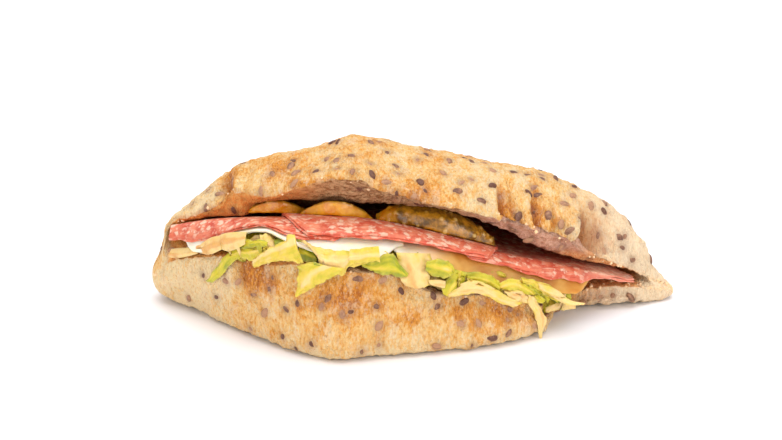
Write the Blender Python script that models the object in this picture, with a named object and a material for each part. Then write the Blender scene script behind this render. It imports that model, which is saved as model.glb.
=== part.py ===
"""A filled bread roll: a kite-shaped linseed roll slit open along its front, with lettuce shreds,
cheese, salami and gherkin in the slit. Metres, +Z up. The slit opens towards -Y, and the roll lies
on Z = 0."""

import math
import random

import bmesh
import bpy
import numpy as np
from mathutils import Matrix, Vector, noise

# Driving dimensions, in metres
MM = 0.001
LEFT_TIP = -95.5 * MM
RIGHT_TIP = 96.5 * MM
TIP_Y = -2 * MM
CENTRE_X = 0.5 * MM
CENTRE_Y = -5.19 * MM
GAP = 0.4 * MM
STATIONS = 44
CRUST_LUMP = 0.9 * MM
CRUST_LUMP_SIZE = 19 * MM
CRUMB_LUMP = 0.2 * MM
SEED_COUNT = 64
SEED_LENGTH = 4.2 * MM
SEED_WIDTH = 2.4 * MM
SEED_THICKNESS = 1.6 * MM
SEED_SINK = 0.1 * MM
SALAMI_RADIUS = 38 * MM
SALAMI_THICKNESS = 1.1 * MM
CHEESE_THICKNESS = 1.2 * MM
LEAF_THICKNESS = 0.8 * MM


def along_t(x):
    """Where x lies between the tips, from 0 to 1, drawn out near both tips so that they come out round."""
    share = (np.asarray(x, float) - LEFT_TIP) / (RIGHT_TIP - LEFT_TIP)
    return np.arccos(1 - 2 * np.clip(share, 0, 1)) / math.pi


def along_x(t):
    return LEFT_TIP + (RIGHT_TIP - LEFT_TIP) * (1 - np.cos(math.pi * np.asarray(t, float))) / 2


def curve(*knots):
    """A smooth function of x through (x, value) knots in millimetres, with no overshoot between them."""
    places = along_t([k[0] * MM for k in knots])
    values = np.array([k[1] for k in knots], float) * MM
    steps = np.diff(places)
    slopes = np.diff(values) / steps
    tangents = np.concatenate([[slopes[0]], np.zeros(len(slopes) - 1), [slopes[-1]]])
    for i in range(1, len(slopes)):
        before, after = slopes[i - 1], slopes[i]
        if before * after > 0:
            tangents[i] = 2 * before * after / (before + after)

    def value(x):
        t = np.clip(along_t(x), places[0], places[-1])
        i = np.clip(np.searchsorted(places, t, side="right") - 1, 0, len(steps) - 1)
        h = steps[i]
        s = (t - places[i]) / h
        return (
            values[i] * (1 + 2 * s) * (1 - s) ** 2
            + h * tangents[i] * s * (1 - s) ** 2
            + values[i + 1] * s**2 * (3 - 2 * s)
            + h * tangents[i + 1] * s**2 * (s - 1)
        )

    return value


def smooth(a, b, x):
    s = np.clip((np.asarray(x, float) - a) / (b - a), 0, 1)
    return s * s * (3 - 2 * s)


# The roll's outline seen from above
FOOT_Y = curve(
    (-95.5, -2), (-83, -14), (-33, -58), (-25, -61), (-13, -59), (43, -38), (49.5, -18), (68, -13.5),
    (96.5, -2),
)
BACK_Y = curve(
    (-95.5, -2), (-88, 8), (-62, 32), (-30, 48), (0, 52), (35, 46), (72, 25), (90, 8), (96.5, -2),
)
# Heights along the roll: the underside lifts only at the tips
FOOT_Z = curve((-95.5, 9), (-92, 2.5), (-86, 0), (86, 0), (93, 0.6), (96.5, 2.5))
TOP_Z = curve(
    (-95.5, 9), (-92, 18.5), (-87.5, 31.5), (-82, 36.5), (-73.5, 44.5), (-64.5, 52), (-55, 56.5),
    (-42.6, 60.4),
    (-30, 63.8), (-20.5, 67), (-12, 65.4), (0, 61.8), (12.4, 59), (30, 54.5), (47, 49.6), (65, 41.5),
    (74, 34.8),
    (83.4, 22.5), (88, 13.8), (93, 6.8), (96.5, 2.5),
)
# The back of the roll is a plain dome without the front's bump
DOME_Z = curve(
    (-95.5, 9), (-90, 22), (-76, 41), (-45, 57), (-12, 63), (30, 54), (60, 42), (80, 27), (90, 11),
    (96.5, 2.5),
)
TOP_Y = curve((-95.5, -2), (-80, -3), (-50, -13), (-20, -17), (20, -13), (60, -5), (96.5, -2))
# The two lips of the slit
LOWER_LIP_Y = curve(
    (-95.5, -2), (-84, -18), (-65, -37), (-40, -54), (-24, -57.5), (9, -50), (43, -38.5), (50, -19),
    (68, -14), (96.5, -2),
)
LOWER_LIP_Z = curve(
    (-95.5, 9), (-92, 12.5), (-89, 17.5), (-84, 21.5), (-78, 24.5), (-65, 29.5), (-54, 30.5),
    (-39, 33.5), (-24, 32.5),
    (-10, 30.5), (2, 24.5), (9, 21), (24, 19), (40, 14), (46, 9.5), (52, 8.5), (70, 9), (84, 7),
    (96.5, 2.5),
)
UPPER_LIP_Y = curve(
    (-95.5, -2), (-86, -8), (-67, -22), (-40, -40), (-20, -45), (9, -42), (50, -32), (64, -25.5),
    (70, -18.5), (87, -7), (96.5, -2),
)
UPPER_LIP_Z = curve(
    (-95.5, 9), (-92, 18), (-88.5, 28.5), (-86, 31.6), (-78.5, 35.6), (-72, 39.6), (-67.5, 43),
    (-63.5, 48.2), (-51, 50.2), (-40, 55.3),
    (-26, 60), (-19, 60.2), (-11, 56.2), (9, 50), (29.5, 43.6), (50, 35.2), (54, 34), (58, 29.3),
    (65, 24),
    (73, 18.6), (81, 13.4), (87, 9.2), (96.5, 2.5),
)
# The lower edge of the crumb wall behind the upper lip
CRUMB_EDGE_Y = curve(
    (-95.5, -2), (-87, -5), (-73, -13), (-61, -21), (-39, -28), (-5, -33), (20, -32), (45, -26),
    (60, -20), (80, -9), (96.5, -2),
)
CRUMB_EDGE_Z = curve(
    (-95.5, 9), (-91, 22), (-87, 30), (-73, 36), (-61, 43), (-39, 49), (-5, 50), (9, 48.4), (30, 38.6),
    (45, 28.6), (60, 22), (71, 17.4), (80, 13.4), (88, 9), (96.5, 2.5),
)
# The closed end of the slit, where the two halves stay joined
HINGE_Y = curve(
    (-95.5, -4), (-88, -3), (-80, 4), (-60, 22), (-10, 40), (40, 33), (75, 11), (86, -3), (96.5, -4),
)
HINGE_Z = curve((-95.5, 9), (-88, 26), (-60, 28), (-10, 28), (40, 21), (75, 12.6), (88, 8.4), (96.5, 2.5))
HINGE_HALF = curve((-95.5, 1), (-84, 3), (-60, 5), (-10, 6), (40, 5), (70, 3), (86, 0.6), (96.5, 0.4))
# How much of the slit's depth is open at x: none at the tips
SLIT_OPEN = curve((-95.5, 0), (-91, 0), (-87.5, 1000), (82, 1000), (86.5, 0), (96.5, 0))

# Folds pressed into the crust: x, width, depth in mm, and whether they are in the upper half
FOLDS = (
    (-62, 3.6, 2.4, True),
    (37, 3.4, 1.2, True),
    (52, 3.2, 1.3, True),
    (69, 3.4, 2.6, True),
    (-59, 3.4, 1.4, False),
)

# The visible band of salami: its rear edge and its drooping front edge
BAND_REAR_Y = curve(
    (-90, -11), (-84, -14), (-64, -26), (-42, -35), (-20, -39), (6, -38), (30, -33), (48, -28),
    (67, -20), (80, -11),
)
BAND_REAR_Z = curve(
    (-90, 31.5), (-84.6, 33), (-64, 40), (-42, 43.4), (-22, 43.6), (-10, 42), (6, 38), (20, 33.4), (30, 29.8),
    (48, 24), (67, 16.8), (78, 11.8), (84, 10.2),
)
BAND_FRONT_Y = curve(
    (-90, -15), (-84, -19), (-73, -29), (-61, -38), (-50, -45), (-41, -50), (-20, -52.5), (3.5, -49),
    (18, -45),
    (44, -36), (58, -29), (74, -17), (82, -12),
)
BAND_FRONT_Z = curve(
    (-90, 28.5), (-84, 29.6), (-73, 33), (-66, 37.2), (-60, 41), (-50, 44.2), (-41, 42.4), (-31, 41), (-19, 40.2),
    (-9, 39.4), (3.5, 37), (18, 32.8), (31, 28.2), (44, 22.4), (58, 16.8), (66, 14), (74, 11.6), (84, 9.8),
)
# How much the slices sag behind the band's rear edge, where the gherkins weigh on them
BAND_SAG = curve((-84, 0), (-70, 1.2), (-50, 2.8), (-20, 3.4), (10, 3.2), (40, 2.8), (58, 1.0), (70, 0))
# How far back the slices reach between the halves
SLICE_BACK_Y = curve(
    (-90, -11), (-84, -7), (-70, 4), (-50, 18), (-10, 28), (40, 22), (60, 8), (74, -6), (84, -10.5),
)
# The x places that all slices share
SHARED_X = np.arange(-88, 84, 5.2) * MM


def spaced_spline(points, counts):
    """Points on a closed Catmull-Rom curve, with counts[k] samples from key point k to the next."""
    points = np.asarray(points, float)
    before = np.roll(points, 1, axis=0)
    after = np.roll(points, -1, axis=0)
    beyond = np.roll(points, -2, axis=0)

    def knot(a, b):
        return np.maximum(np.sqrt(np.linalg.norm(b - a, axis=1)), 1e-5)[:, None]

    d0, d1, d2 = knot(before, points), knot(points, after), knot(after, beyond)
    start = d1 * ((points - before) / d0 - (after - before) / (d0 + d1) + (after - points) / d1)
    end = d1 * ((after - points) / d1 - (beyond - points) / (d1 + d2) + (beyond - after) / d2)
    samples = []
    for k, count in enumerate(counts):
        for s in np.arange(count) / count:
            samples.append(
                points[k] * (1 + 2 * s) * (1 - s) ** 2
                + start[k] * s * (1 - s) ** 2
                + after[k] * s**2 * (3 - 2 * s)
                + end[k] * s**2 * (s - 1)
            )
    return np.array(samples)


# Samples between one key point of a section and the next, from the upper lip over the back to the slit
SECTION_COUNTS = (1, 3, 4, 4, 4, 2, 2, 1, 2, 3, 1, 2, 3, 2, 1, 2, 2, 1, 1, 2, 3, 2, 1)
CRUST_KEYS = 14


def section_keys(x):
    """The (y, z) key points of the roll's C-shaped section at x, starting at the upper lip's nose."""
    foot_y, back_y = float(FOOT_Y(x)), float(BACK_Y(x))
    foot_z, top_y, top_z = float(FOOT_Z(x)), float(TOP_Y(x)), float(TOP_Z(x))
    low_y, low_z = float(LOWER_LIP_Y(x)), float(LOWER_LIP_Z(x))
    up_y, up_z = float(UPPER_LIP_Y(x)), float(UPPER_LIP_Z(x))
    edge_y, edge_z = float(CRUMB_EDGE_Y(x)), float(CRUMB_EDGE_Z(x))
    hinge_y, hinge_z, half = float(HINGE_Y(x)), float(HINGE_Z(x)), float(HINGE_HALF(x))
    small = min(1.0, (top_z - foot_z) / (30 * MM))
    rise = float(DOME_Z(x)) - foot_z
    back_z = foot_z + 0.36 * rise
    crust = [
        (up_y, up_z),
        (up_y - 0.3 * MM * small, up_z + 2.2 * MM * small),
        (up_y + 0.4 * (top_y - up_y), up_z + 0.8 * (top_z - up_z)),
        (top_y, top_z),
        (top_y + 0.5 * (back_y - top_y), foot_z + 0.81 * rise),
        (top_y + 0.87 * (back_y - top_y), foot_z + 0.56 * rise),
        (back_y, back_z),
        (back_y - 1.5 * MM * small, foot_z + 0.12 * rise),
        (back_y - 9 * MM * small, foot_z),
        (0.5 * (foot_y + back_y), foot_z),
        (foot_y + 6 * MM * small, foot_z),
        (foot_y - 0.6 * MM * small, foot_z + 2.4 * MM * small),
        (0.5 * (foot_y + low_y) - 2.4 * MM * small, foot_z + 0.5 * (low_z - foot_z)),
        (low_y - 1.0 * MM * small, low_z - 3.4 * MM * small),
    ]
    slit = [
        (low_y, low_z),
        (low_y + 2.6 * MM * small, low_z + 0.2 * MM * small),
        (low_y + 0.5 * (hinge_y - low_y), 0.5 * (low_z + hinge_z - half)),
        (hinge_y - 0.8 * half, hinge_z - half),
        (hinge_y, hinge_z),
        (hinge_y - 0.8 * half, hinge_z + half),
        (edge_y + 0.5 * (hinge_y - edge_y), 0.5 * (edge_z + hinge_z + half)),
        (edge_y, edge_z),
        (0.35 * edge_y + 0.65 * up_y, 0.35 * edge_z + 0.65 * up_z),
    ]
    # Where the slit is closed, its points lie on the front of the crust, evenly between the lips
    opening = float(SLIT_OPEN(x))
    for i, (y, z) in enumerate(slit):
        share = i / len(slit)
        front_y = low_y + share * (up_y - low_y) - 1.5 * MM * small * math.sin(math.pi * share)
        front_z = low_z + share * (up_z - low_z)
        slit[i] = (front_y + opening * (y - front_y), front_z + opening * (z - front_z))
    return crust + slit


def crust_share(counts):
    """For each sample of a section, 1 on the crust and 0 in the slit, easing at the lips."""
    crust_samples = sum(counts[:CRUST_KEYS])
    share = []
    for i in range(sum(counts)):
        inside = min(i, crust_samples - i) if i < crust_samples else 0
        share.append(min(1.0, inside / 3))
    return np.array(share)


def fold_depth(x, j, counts):
    """How deep the folds are at sample j of the section at x: they start at a lip and fade away from it."""
    total = 0.0
    low_lip = sum(counts[:CRUST_KEYS])
    top, front = sum(counts[:4]), sum(counts[:12])
    for place, width, depth, upper in FOLDS:
        if upper:
            fade = max(0.0, 1 - j / (1.3 * top)) if j < low_lip else 0.0
        else:
            fade = min(1.0, max(0.0, (j - front + 2) / 3)) if j <= low_lip else 0.0
        total += depth * MM * fade * math.exp(-(((x - place * MM) / (width * MM)) ** 2))
    return total


def bumps(point, size, seed):
    """A smooth random value from -1 to 1 that depends on the place alone."""
    return noise.noise(Vector(point) / size + Vector((seed, 2 * seed, -seed)))


def roll_points(stations, counts):
    """The roll's surface as rings of points, one for each station between the tips."""
    rings = []
    for t in (np.arange(stations) + 1) / (stations + 1):
        x = float(along_x(t))
        profile = spaced_spline(section_keys(x), counts)
        rings.append(np.column_stack([np.full(len(profile), x), profile]))
    rings = np.array(rings)
    along = np.gradient(rings, axis=0)
    around = np.roll(rings, -1, axis=1) - np.roll(rings, 1, axis=1)
    normals = np.cross(along, around)
    normals /= np.maximum(np.linalg.norm(normals, axis=2, keepdims=True), 1e-12)
    share = crust_share(counts)
    ease = np.minimum(1.0, np.minimum(np.arange(stations) + 1, stations - np.arange(stations)) / 4)
    for i in range(len(rings)):
        for j in range(rings.shape[1]):
            place = rings[i, j]
            crust = CRUST_LUMP * bumps(place, CRUST_LUMP_SIZE, 3.1)
            crust += 0.4 * CRUST_LUMP * bumps(place, CRUST_LUMP_SIZE / 2.6, 8.4)
            crumb = CRUMB_LUMP * bumps(place, 7 * MM, 5.7)
            height = share[j] * crust + (1 - share[j]) * crumb
            height -= fold_depth(place[0], j, counts)
            rings[i, j] += normals[i, j] * height * ease[i]
    foot = np.array([float(FOOT_Z(x)) for x in rings[:, 0, 0]])
    rings[:, :, 2] = np.maximum(rings[:, :, 2], foot[:, None])
    return rings


def material(name, colour, roughness):
    made = bpy.data.materials.new(name)
    made.use_nodes = True
    shader = made.node_tree.nodes["Principled BSDF"]
    shader.inputs["Base Color"].default_value = (*colour, 1)
    shader.inputs["Roughness"].default_value = roughness
    shader.inputs["Metallic"].default_value = 0.0
    return made


def add_object(name, bm, collection, finish):
    """A named object from a bmesh whose faces are made to point outwards."""
    bmesh.ops.recalc_face_normals(bm, faces=bm.faces)
    mesh = bpy.data.meshes.new(name)
    bm.to_mesh(mesh)
    bm.free()
    mesh.materials.append(finish)
    mesh.shade_smooth()
    made = bpy.data.objects.new(name, mesh)
    collection.objects.link(made)
    return made


def loft_bmesh(rings, start, end):
    """A closed surface through rings of points, with a pole point at each end."""
    bm = bmesh.new()
    rows = [[bm.verts.new(p) for p in ring] for ring in rings]
    first, last = bm.verts.new(start), bm.verts.new(end)
    count = len(rows[0])
    for j in range(count):
        k = (j + 1) % count
        bm.faces.new((first, rows[0][k], rows[0][j]))
        bm.faces.new((last, rows[-1][j], rows[-1][k]))
        for i in range(len(rows) - 1):
            bm.faces.new((rows[i][j], rows[i][k], rows[i + 1][k], rows[i + 1][j]))
    return bm


def seed_mesh():
    """One linseed: a flat drop, pointed at one end."""
    bm = bmesh.new()
    bmesh.ops.create_uvsphere(bm, u_segments=5, v_segments=4, radius=1)
    for v in bm.verts:
        # The sphere's poles lie along the seed, and one of them is drawn to a point
        v.co = Vector((v.co.z, v.co.x, v.co.y))
        narrow = 1 - 0.3 * max(0.0, v.co.x)
        width, thickness = narrow * SEED_WIDTH / 2, narrow * SEED_THICKNESS / 2
        v.co = Vector((v.co.x * SEED_LENGTH / 2, v.co.y * width, v.co.z * thickness))
    return bm


def add_seeds(rings, collection, finish):
    """Linseeds spread evenly over the crust, half sunk in it, clear of the lips and the shreds."""
    rng = random.Random(11)
    share = crust_share(SECTION_COUNTS)
    placed = []
    template = seed_mesh()
    spots = [(i, j) for i in range(3, len(rings) - 3) for j in range(2, rings.shape[1] - 1)]
    spots = [(i, j) for i, j in spots if share[j] == 1 and rings[i, j, 2] > 5 * MM]
    front = sum(SECTION_COUNTS[:12]) - 1
    clear_of_lip = LOWER_LIP_Z(rings[:, 0, 0]) - 15 * MM
    spots = [(i, j) for i, j in spots if j < front or rings[i, j, 2] < clear_of_lip[i]]
    while len(placed) < SEED_COUNT:
        # Of a few drawn spots, the one farthest from the seeds so far
        drawn = [spots[rng.randrange(len(spots))] for _ in range(9)]
        clear = [min([(Vector(rings[spot]) - other).length for other in placed] + [1]) for spot in drawn]
        i, j = drawn[clear.index(max(clear))]
        place = Vector(rings[i, j])
        along = Vector(rings[i + 1, j] - rings[i - 1, j])
        around = Vector(rings[i, j + 1] - rings[i, j - 1])
        normal = around.cross(along).normalized()
        turn = rng.uniform(0, math.pi)
        forward = (math.cos(turn) * along.normalized() + math.sin(turn) * around.normalized()).normalized()
        side = normal.cross(forward).normalized()
        forward = side.cross(normal)
        size = rng.uniform(0.85, 1.1)
        copy = template.copy()
        for v in copy.verts:
            v.co = place + size * (v.co.x * forward + v.co.y * side + (v.co.z - SEED_SINK) * normal)
        add_object(f"seed_{len(placed)}", copy, collection, finish)
        placed.append(place)
    template.free()


def keep_outer_skin(mesh):
    """Fills the hollows that fusing seals, and drops loose scraps: only the largest island of faces stays."""
    bm = bmesh.new()
    bm.from_mesh(mesh)
    left, largest = set(bm.faces), set()
    while left:
        island, edge = set(), [left.pop()]
        while edge:
            face = edge.pop()
            island.add(face)
            near = {other for side in face.edges for other in side.link_faces} & left
            left -= near
            edge.extend(near)
        if len(island) > len(largest):
            largest = island
    bmesh.ops.delete(bm, geom=[face for face in bm.faces if face not in largest], context="FACES")
    bm.to_mesh(mesh)
    bm.free()


def join_by_union(host, extras, solver):
    """Fuses every object of the collection into the host, and removes them."""
    union = host.modifiers.new("fuse", "BOOLEAN")
    union.operation = "UNION"
    union.operand_type = "COLLECTION"
    union.collection = extras
    union.solver = solver
    bpy.context.view_layer.update()
    fused = bpy.data.meshes.new_from_object(host.evaluated_get(bpy.context.evaluated_depsgraph_get()))
    keep_outer_skin(fused)
    fused.set_sharp_from_angle(angle=math.radians(38))
    host.modifiers.clear()
    host.data = fused
    for extra in list(extras.objects):
        bpy.data.objects.remove(extra)
    bpy.data.collections.remove(extras)


def make_roll(rings, collection, extras):
    crust = material("baked_crust", (0.72, 0.43, 0.19), 0.75)
    start = (LEFT_TIP, TIP_Y, float(FOOT_Z(LEFT_TIP)))
    end = (RIGHT_TIP, TIP_Y, float(FOOT_Z(RIGHT_TIP)))
    roll = add_object("bread_roll", loft_bmesh(rings, start, end), collection, crust)
    add_seeds(rings, extras, crust)
    join_by_union(roll, extras, "EXACT")


def band_height(x, y):
    """The upper side of the lower salami slices, which droop at their front edge."""
    front_y, front_z = BAND_FRONT_Y(x), BAND_FRONT_Z(x)
    rear_y, rear_z = BAND_REAR_Y(x), BAND_REAR_Z(x)
    slope = (rear_z - HINGE_Z(x) - 1 * MM) / np.maximum(HINGE_Y(x) - rear_y, 8 * MM)
    ahead = np.clip((rear_y - y) / (rear_y - front_y), 0, 1.3)
    curl = np.where(ahead < 1, ahead**2, 0.3 + 0.7 * ahead)
    drop = rear_z + slope * (rear_y - front_y) - front_z
    behind = np.maximum(y - rear_y, 0)
    sag = BAND_SAG(x) * (1 - np.exp(-behind / (9 * MM)))
    return rear_z + slope * (rear_y - y) - drop * curl - sag


def sheet_bmesh(xs, front, back, top, thickness, rows_count):
    """A thin solid between a front and a back line over the stations xs, below the height top(x, y)."""
    bm = bmesh.new()
    upper, lower = [], []
    for row in range(rows_count):
        share = (row / (rows_count - 1)) ** 1.5
        y = front + share * (back - front)
        z = top(xs, y)
        upper.append([bm.verts.new(p) for p in zip(xs, y, z)])
        lower.append([bm.verts.new(p) for p in zip(xs, y, z - thickness)])
    last = len(xs) - 1
    for i in range(rows_count - 1):
        for j in range(last):
            for rows, order in ((upper, 1), (lower, -1)):
                corners = (rows[i][j], rows[i][j + 1], rows[i + 1][j + 1], rows[i + 1][j])
                bm.faces.new((corners[0], corners[1], corners[2])[::order])
                bm.faces.new((corners[0], corners[2], corners[3])[::order])
    rims = [(upper[0], lower[0]), (upper[-1], lower[-1])]
    rims += [([r[end] for r in upper], [r[end] for r in lower]) for end in (0, -1)]
    for high, low in rims:
        for j in range(len(high) - 1):
            bm.faces.new((high[j], high[j + 1], low[j + 1], low[j]))
    return bm


def stations_between(left, right, ends):
    """The shared x places between two ends, with closer ones where a slice rounds off."""
    near = [left + e for e in ends] + [right - e for e in ends]
    inner = [x for x in SHARED_X if left + ends[-1] + 2 * MM < x < right - ends[-1] - 2 * MM]
    return np.array(sorted(near + inner))


# Each salami slice: name, centre (x, y) in mm, and whether it lies on its neighbours
SALAMI_SLICES = (
    ("salami_left", (-49, -20), False),
    ("salami_middle", (-8, -25), True),
    ("salami_right", (42.5, -14), False),
)


def salami_top(x, y, on_top):
    return band_height(x, y) + (SALAMI_THICKNESS + 2 * GAP) * on_top


def make_salami(collection):
    meat = material("cured_salami", (0.62, 0.17, 0.12), 0.45)
    for name, centre, on_top in SALAMI_SLICES:
        middle_x, middle_y = centre[0] * MM, centre[1] * MM
        ends = (0.2 * MM, 1.2 * MM, 3.5 * MM)
        xs = stations_between(middle_x - SALAMI_RADIUS, middle_x + SALAMI_RADIUS, ends)
        half = np.sqrt(SALAMI_RADIUS**2 - (xs - middle_x) ** 2)
        front = np.maximum(middle_y - half, BAND_FRONT_Y(xs))
        back = np.minimum(middle_y + half, SLICE_BACK_Y(xs))
        back = np.maximum(back, front + 1.5 * MM)
        top = lambda x, y, lift=on_top: salami_top(x, y, lift)
        add_object(name, sheet_bmesh(xs, front, back, top, SALAMI_THICKNESS, 7), collection, meat)


# Each cheese slice: name, from x, to x, and how far its front edge reaches past the salami's, in mm
CHEESE_SLICES = (("cheese_left", -84, -3.5, 2.0), ("cheese_right", -2.5, 66, 1.2))


def cheese_top(x, y):
    return band_height(x, y) - SALAMI_THICKNESS - 1.6 * GAP


def make_cheese(collection):
    cheese = material("sliced_cheese", (0.91, 0.74, 0.45), 0.5)
    for name, left, right, reach in CHEESE_SLICES:
        xs = stations_between(left * MM, right * MM, (0, 1.5 * MM))
        ends = smooth(0, 6 * MM, np.minimum(xs - left * MM, right * MM - xs))
        front = BAND_FRONT_Y(xs) - reach * MM * ends
        back = np.minimum(SLICE_BACK_Y(xs) - 1 * MM, 20 * MM)
        add_object(name, sheet_bmesh(xs, front, back, cheese_top, CHEESE_THICKNESS, 6), collection, cheese)


# Each gherkin piece: name, from x, to x, its front y, its depth and its height, all in mm
GHERKIN_PIECES = (
    ("gherkin_left", -59, -35.5, -27, 12.5, 4.6),
    ("gherkin_middle", -39.5, -14, -36.5, 14, 5.4),
    ("gherkin_right", -13, 29, -36.5, 17, 9.0),
)


def make_gherkins(collection):
    """Gherkin pieces with a flat underside on the salami and a round top."""
    flesh = material("pickled_gherkin", (0.42, 0.27, 0.03), 0.3)
    for name, left, right, front, depth, rise in GHERKIN_PIECES:
        rings = []
        for t in (np.arange(9) + 0.7) / 9.4:
            x = (left + (right - left) * t) * MM
            taper = math.sin(math.pi * t) ** 0.5
            bend = 1.5 * MM * math.sin(math.pi * t)
            q = np.concatenate([np.linspace(0, 1, 7), (0.66, 0.33)])
            dome = np.where(np.arange(9) < 7, np.sqrt(np.clip(4 * q * (1 - q), 0, 1)), 0)
            y = (front + depth / 2) * MM - bend + depth * MM * taper * (q - 0.5)
            z = salami_top(x, y, True) + GAP + rise * MM * taper * dome
            rings.append(np.column_stack([np.full(9, x), y, z]))
        tips = []
        for x in (left * MM, right * MM):
            y = (front + depth / 2) * MM
            tips.append((x, y, float(salami_top(x, y, True)) + GAP + 0.2 * rise * MM))
        add_object(name, loft_bmesh(np.array(rings), tips[0], tips[1]), collection, flesh)


def through(knots, count):
    """Points evenly along a smooth open curve through the knots."""
    p = np.asarray(knots, float)
    p = np.vstack([2 * p[0] - p[1], p, 2 * p[-1] - p[-2]])
    points = []
    for t in np.linspace(0, len(p) - 3, count):
        i = min(int(t), len(p) - 4)
        s = t - i
        a, b, c, d = p[i : i + 4]
        points.append(b + 0.5 * s * (c - a + s * (2 * a - 5 * b + 4 * c - d + s * (3 * (b - c) + d - a))))
    return np.array(points)


LIP_INDEX = sum(SECTION_COUNTS[:CRUST_KEYS])


def draped(rings, x, along, height):
    """The point so far into the slit from the lower lip, or down the front, and so far off the bread."""
    place = float(along_t(x)) * (len(rings) + 1) - 1
    i = int(min(max(place, 0), len(rings) - 2))
    ring = (i + 1 - place) * rings[i] + (place - i) * rings[i + 1]
    step = 1 if along > 0 else -1
    j, left = LIP_INDEX, abs(along)
    hop = np.linalg.norm(ring[j + step] - ring[j])
    while left > hop:
        left -= hop
        j += step
        hop = np.linalg.norm(ring[j + step] - ring[j])
    share = left / hop
    across = (1 - share) * (ring[j + 1] - ring[j - 1]) + share * (ring[j + step + 1] - ring[j + step - 1])
    normal = np.array([0, -across[2], across[1]]) / np.hypot(across[1], across[2])
    point = (1 - share) * ring[j] + share * ring[j + step]
    return point + height * normal


# Each shred: width, and knots of (x, how far in from the lip, height off the bread), in mm
SHREDS = (
    (5.5, (-85, 1.5, 1.6), (-80, 0.5, 1.9), (-74, 1.5, 1.8), (-68, 5, 1.6)),
    (6.5, (-72, 3, 1.8), (-66, 0.5, 3.0), (-60, 1.5, 4.4), (-54, 6, 3.4)),
    (6.5, (-55, 9, 2.0), (-58, 2, 2.9), (-63, -3, 2.6), (-68, -6, 1.6), (-71, -9, 1.4)),
    (5.0, (-60, 4, 4.0), (-54, 0, 6.6), (-48, 1, 6.4), (-43, 6, 3.2)),
    (12.0, (-46, 10, 1.6), (-46, 4.5, 5.0), (-46.5, 0.5, 4.6), (-48, -2.5, 2.2)),
    (8.0, (-32, 9, 1.6), (-33, 1.5, 2.6), (-35, -4, 1.6), (-37.5, -10, 1.4)),
    (19.0, (-25, 10, 1.8), (-25, 4, 3.2), (-25, 0, 3.6), (-24.5, -3, 2.2)),
    (9.0, (-6, 8, 1.6), (-6, 3, 3.0), (-5.5, -0.5, 3.0), (-5, -3, 1.8)),
    (10.0, (1, 9, 1.8), (1, 3, 5.4), (2, -1, 4.2), (3.5, -4.5, 2.0)),
    (8.0, (9, 9, 2.0), (9.5, 2.5, 6.0), (10.5, -0.5, 5.0), (11.5, -3, 3.4)),
    (9.5, (10, 8, 1.4), (11.5, 1.5, 1.8), (13, -2, 1.6), (14, -5, 1.4)),
    (4.5, (12, 6, 3.4), (18, 2, 4.2), (26, 0.5, 3.8), (34, 0.5, 3.2), (41, 3, 2.4)),
    (4.0, (17, 7, 1.8), (23, -1, 1.8), (31, -2, 1.8), (38, -0.5, 1.8), (42, 4, 1.8)),
    (5.5, (22, 9, 3.0), (30, 5, 4.2), (38, 3.5, 4.4), (46, 3, 4.0), (53, 5, 2.6)),
    (2.6, (42, 9, 2.4), (47, 3, 4.2), (53, 1.5, 4.0), (60, 2, 2.4)),
    (3.0, (39, 8, 1.8), (40.5, 1, 2.0), (41.5, -3, 1.8), (42, -6, 1.8), (41.5, -9, 2.0)),
)


def shred_bmesh(rings, width, knots):
    """A thin wavy strip draped over the lower half; both faces are split into triangles alike."""
    path = through(np.array(knots) * MM, 8)
    heading = np.gradient(path, axis=0)[:, :2]
    heading /= np.linalg.norm(heading, axis=1, keepdims=True)
    bm = bmesh.new()
    upper, lower = [], []
    for k in range(len(path)):
        x, along, height = path[k]
        for rows, side in ((upper, 1), (lower, -1)):
            row = []
            for q in (-1, 0, 1):
                sideways = q * width * MM / 2 * (1 if 0 < k < len(path) - 1 else 0.6)
                wave = 0.35 * MM * math.sin(1.9 * k + 1.3 * q)
                place = (x - sideways * heading[k][1], along + sideways * heading[k][0])
                row.append(bm.verts.new(draped(rings, *place, height + wave + side * LEAF_THICKNESS / 2)))
            rows.append(row)
    for k in range(len(path) - 1):
        for q in range(2):
            for rows, order in ((upper, 1), (lower, -1)):
                a, b, c, d = rows[k][q], rows[k][q + 1], rows[k + 1][q + 1], rows[k + 1][q]
                bm.faces.new((a, b, c)[::order])
                bm.faces.new((a, c, d)[::order])
    rims = [(upper[0], lower[0]), (upper[-1], lower[-1])]
    rims += [([r[end] for r in upper], [r[end] for r in lower]) for end in (0, -1)]
    for high, low in rims:
        for j in range(len(high) - 1):
            bm.faces.new((high[j], high[j + 1], low[j + 1]))
            bm.faces.new((high[j], low[j + 1], low[j]))
    return bm


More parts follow.
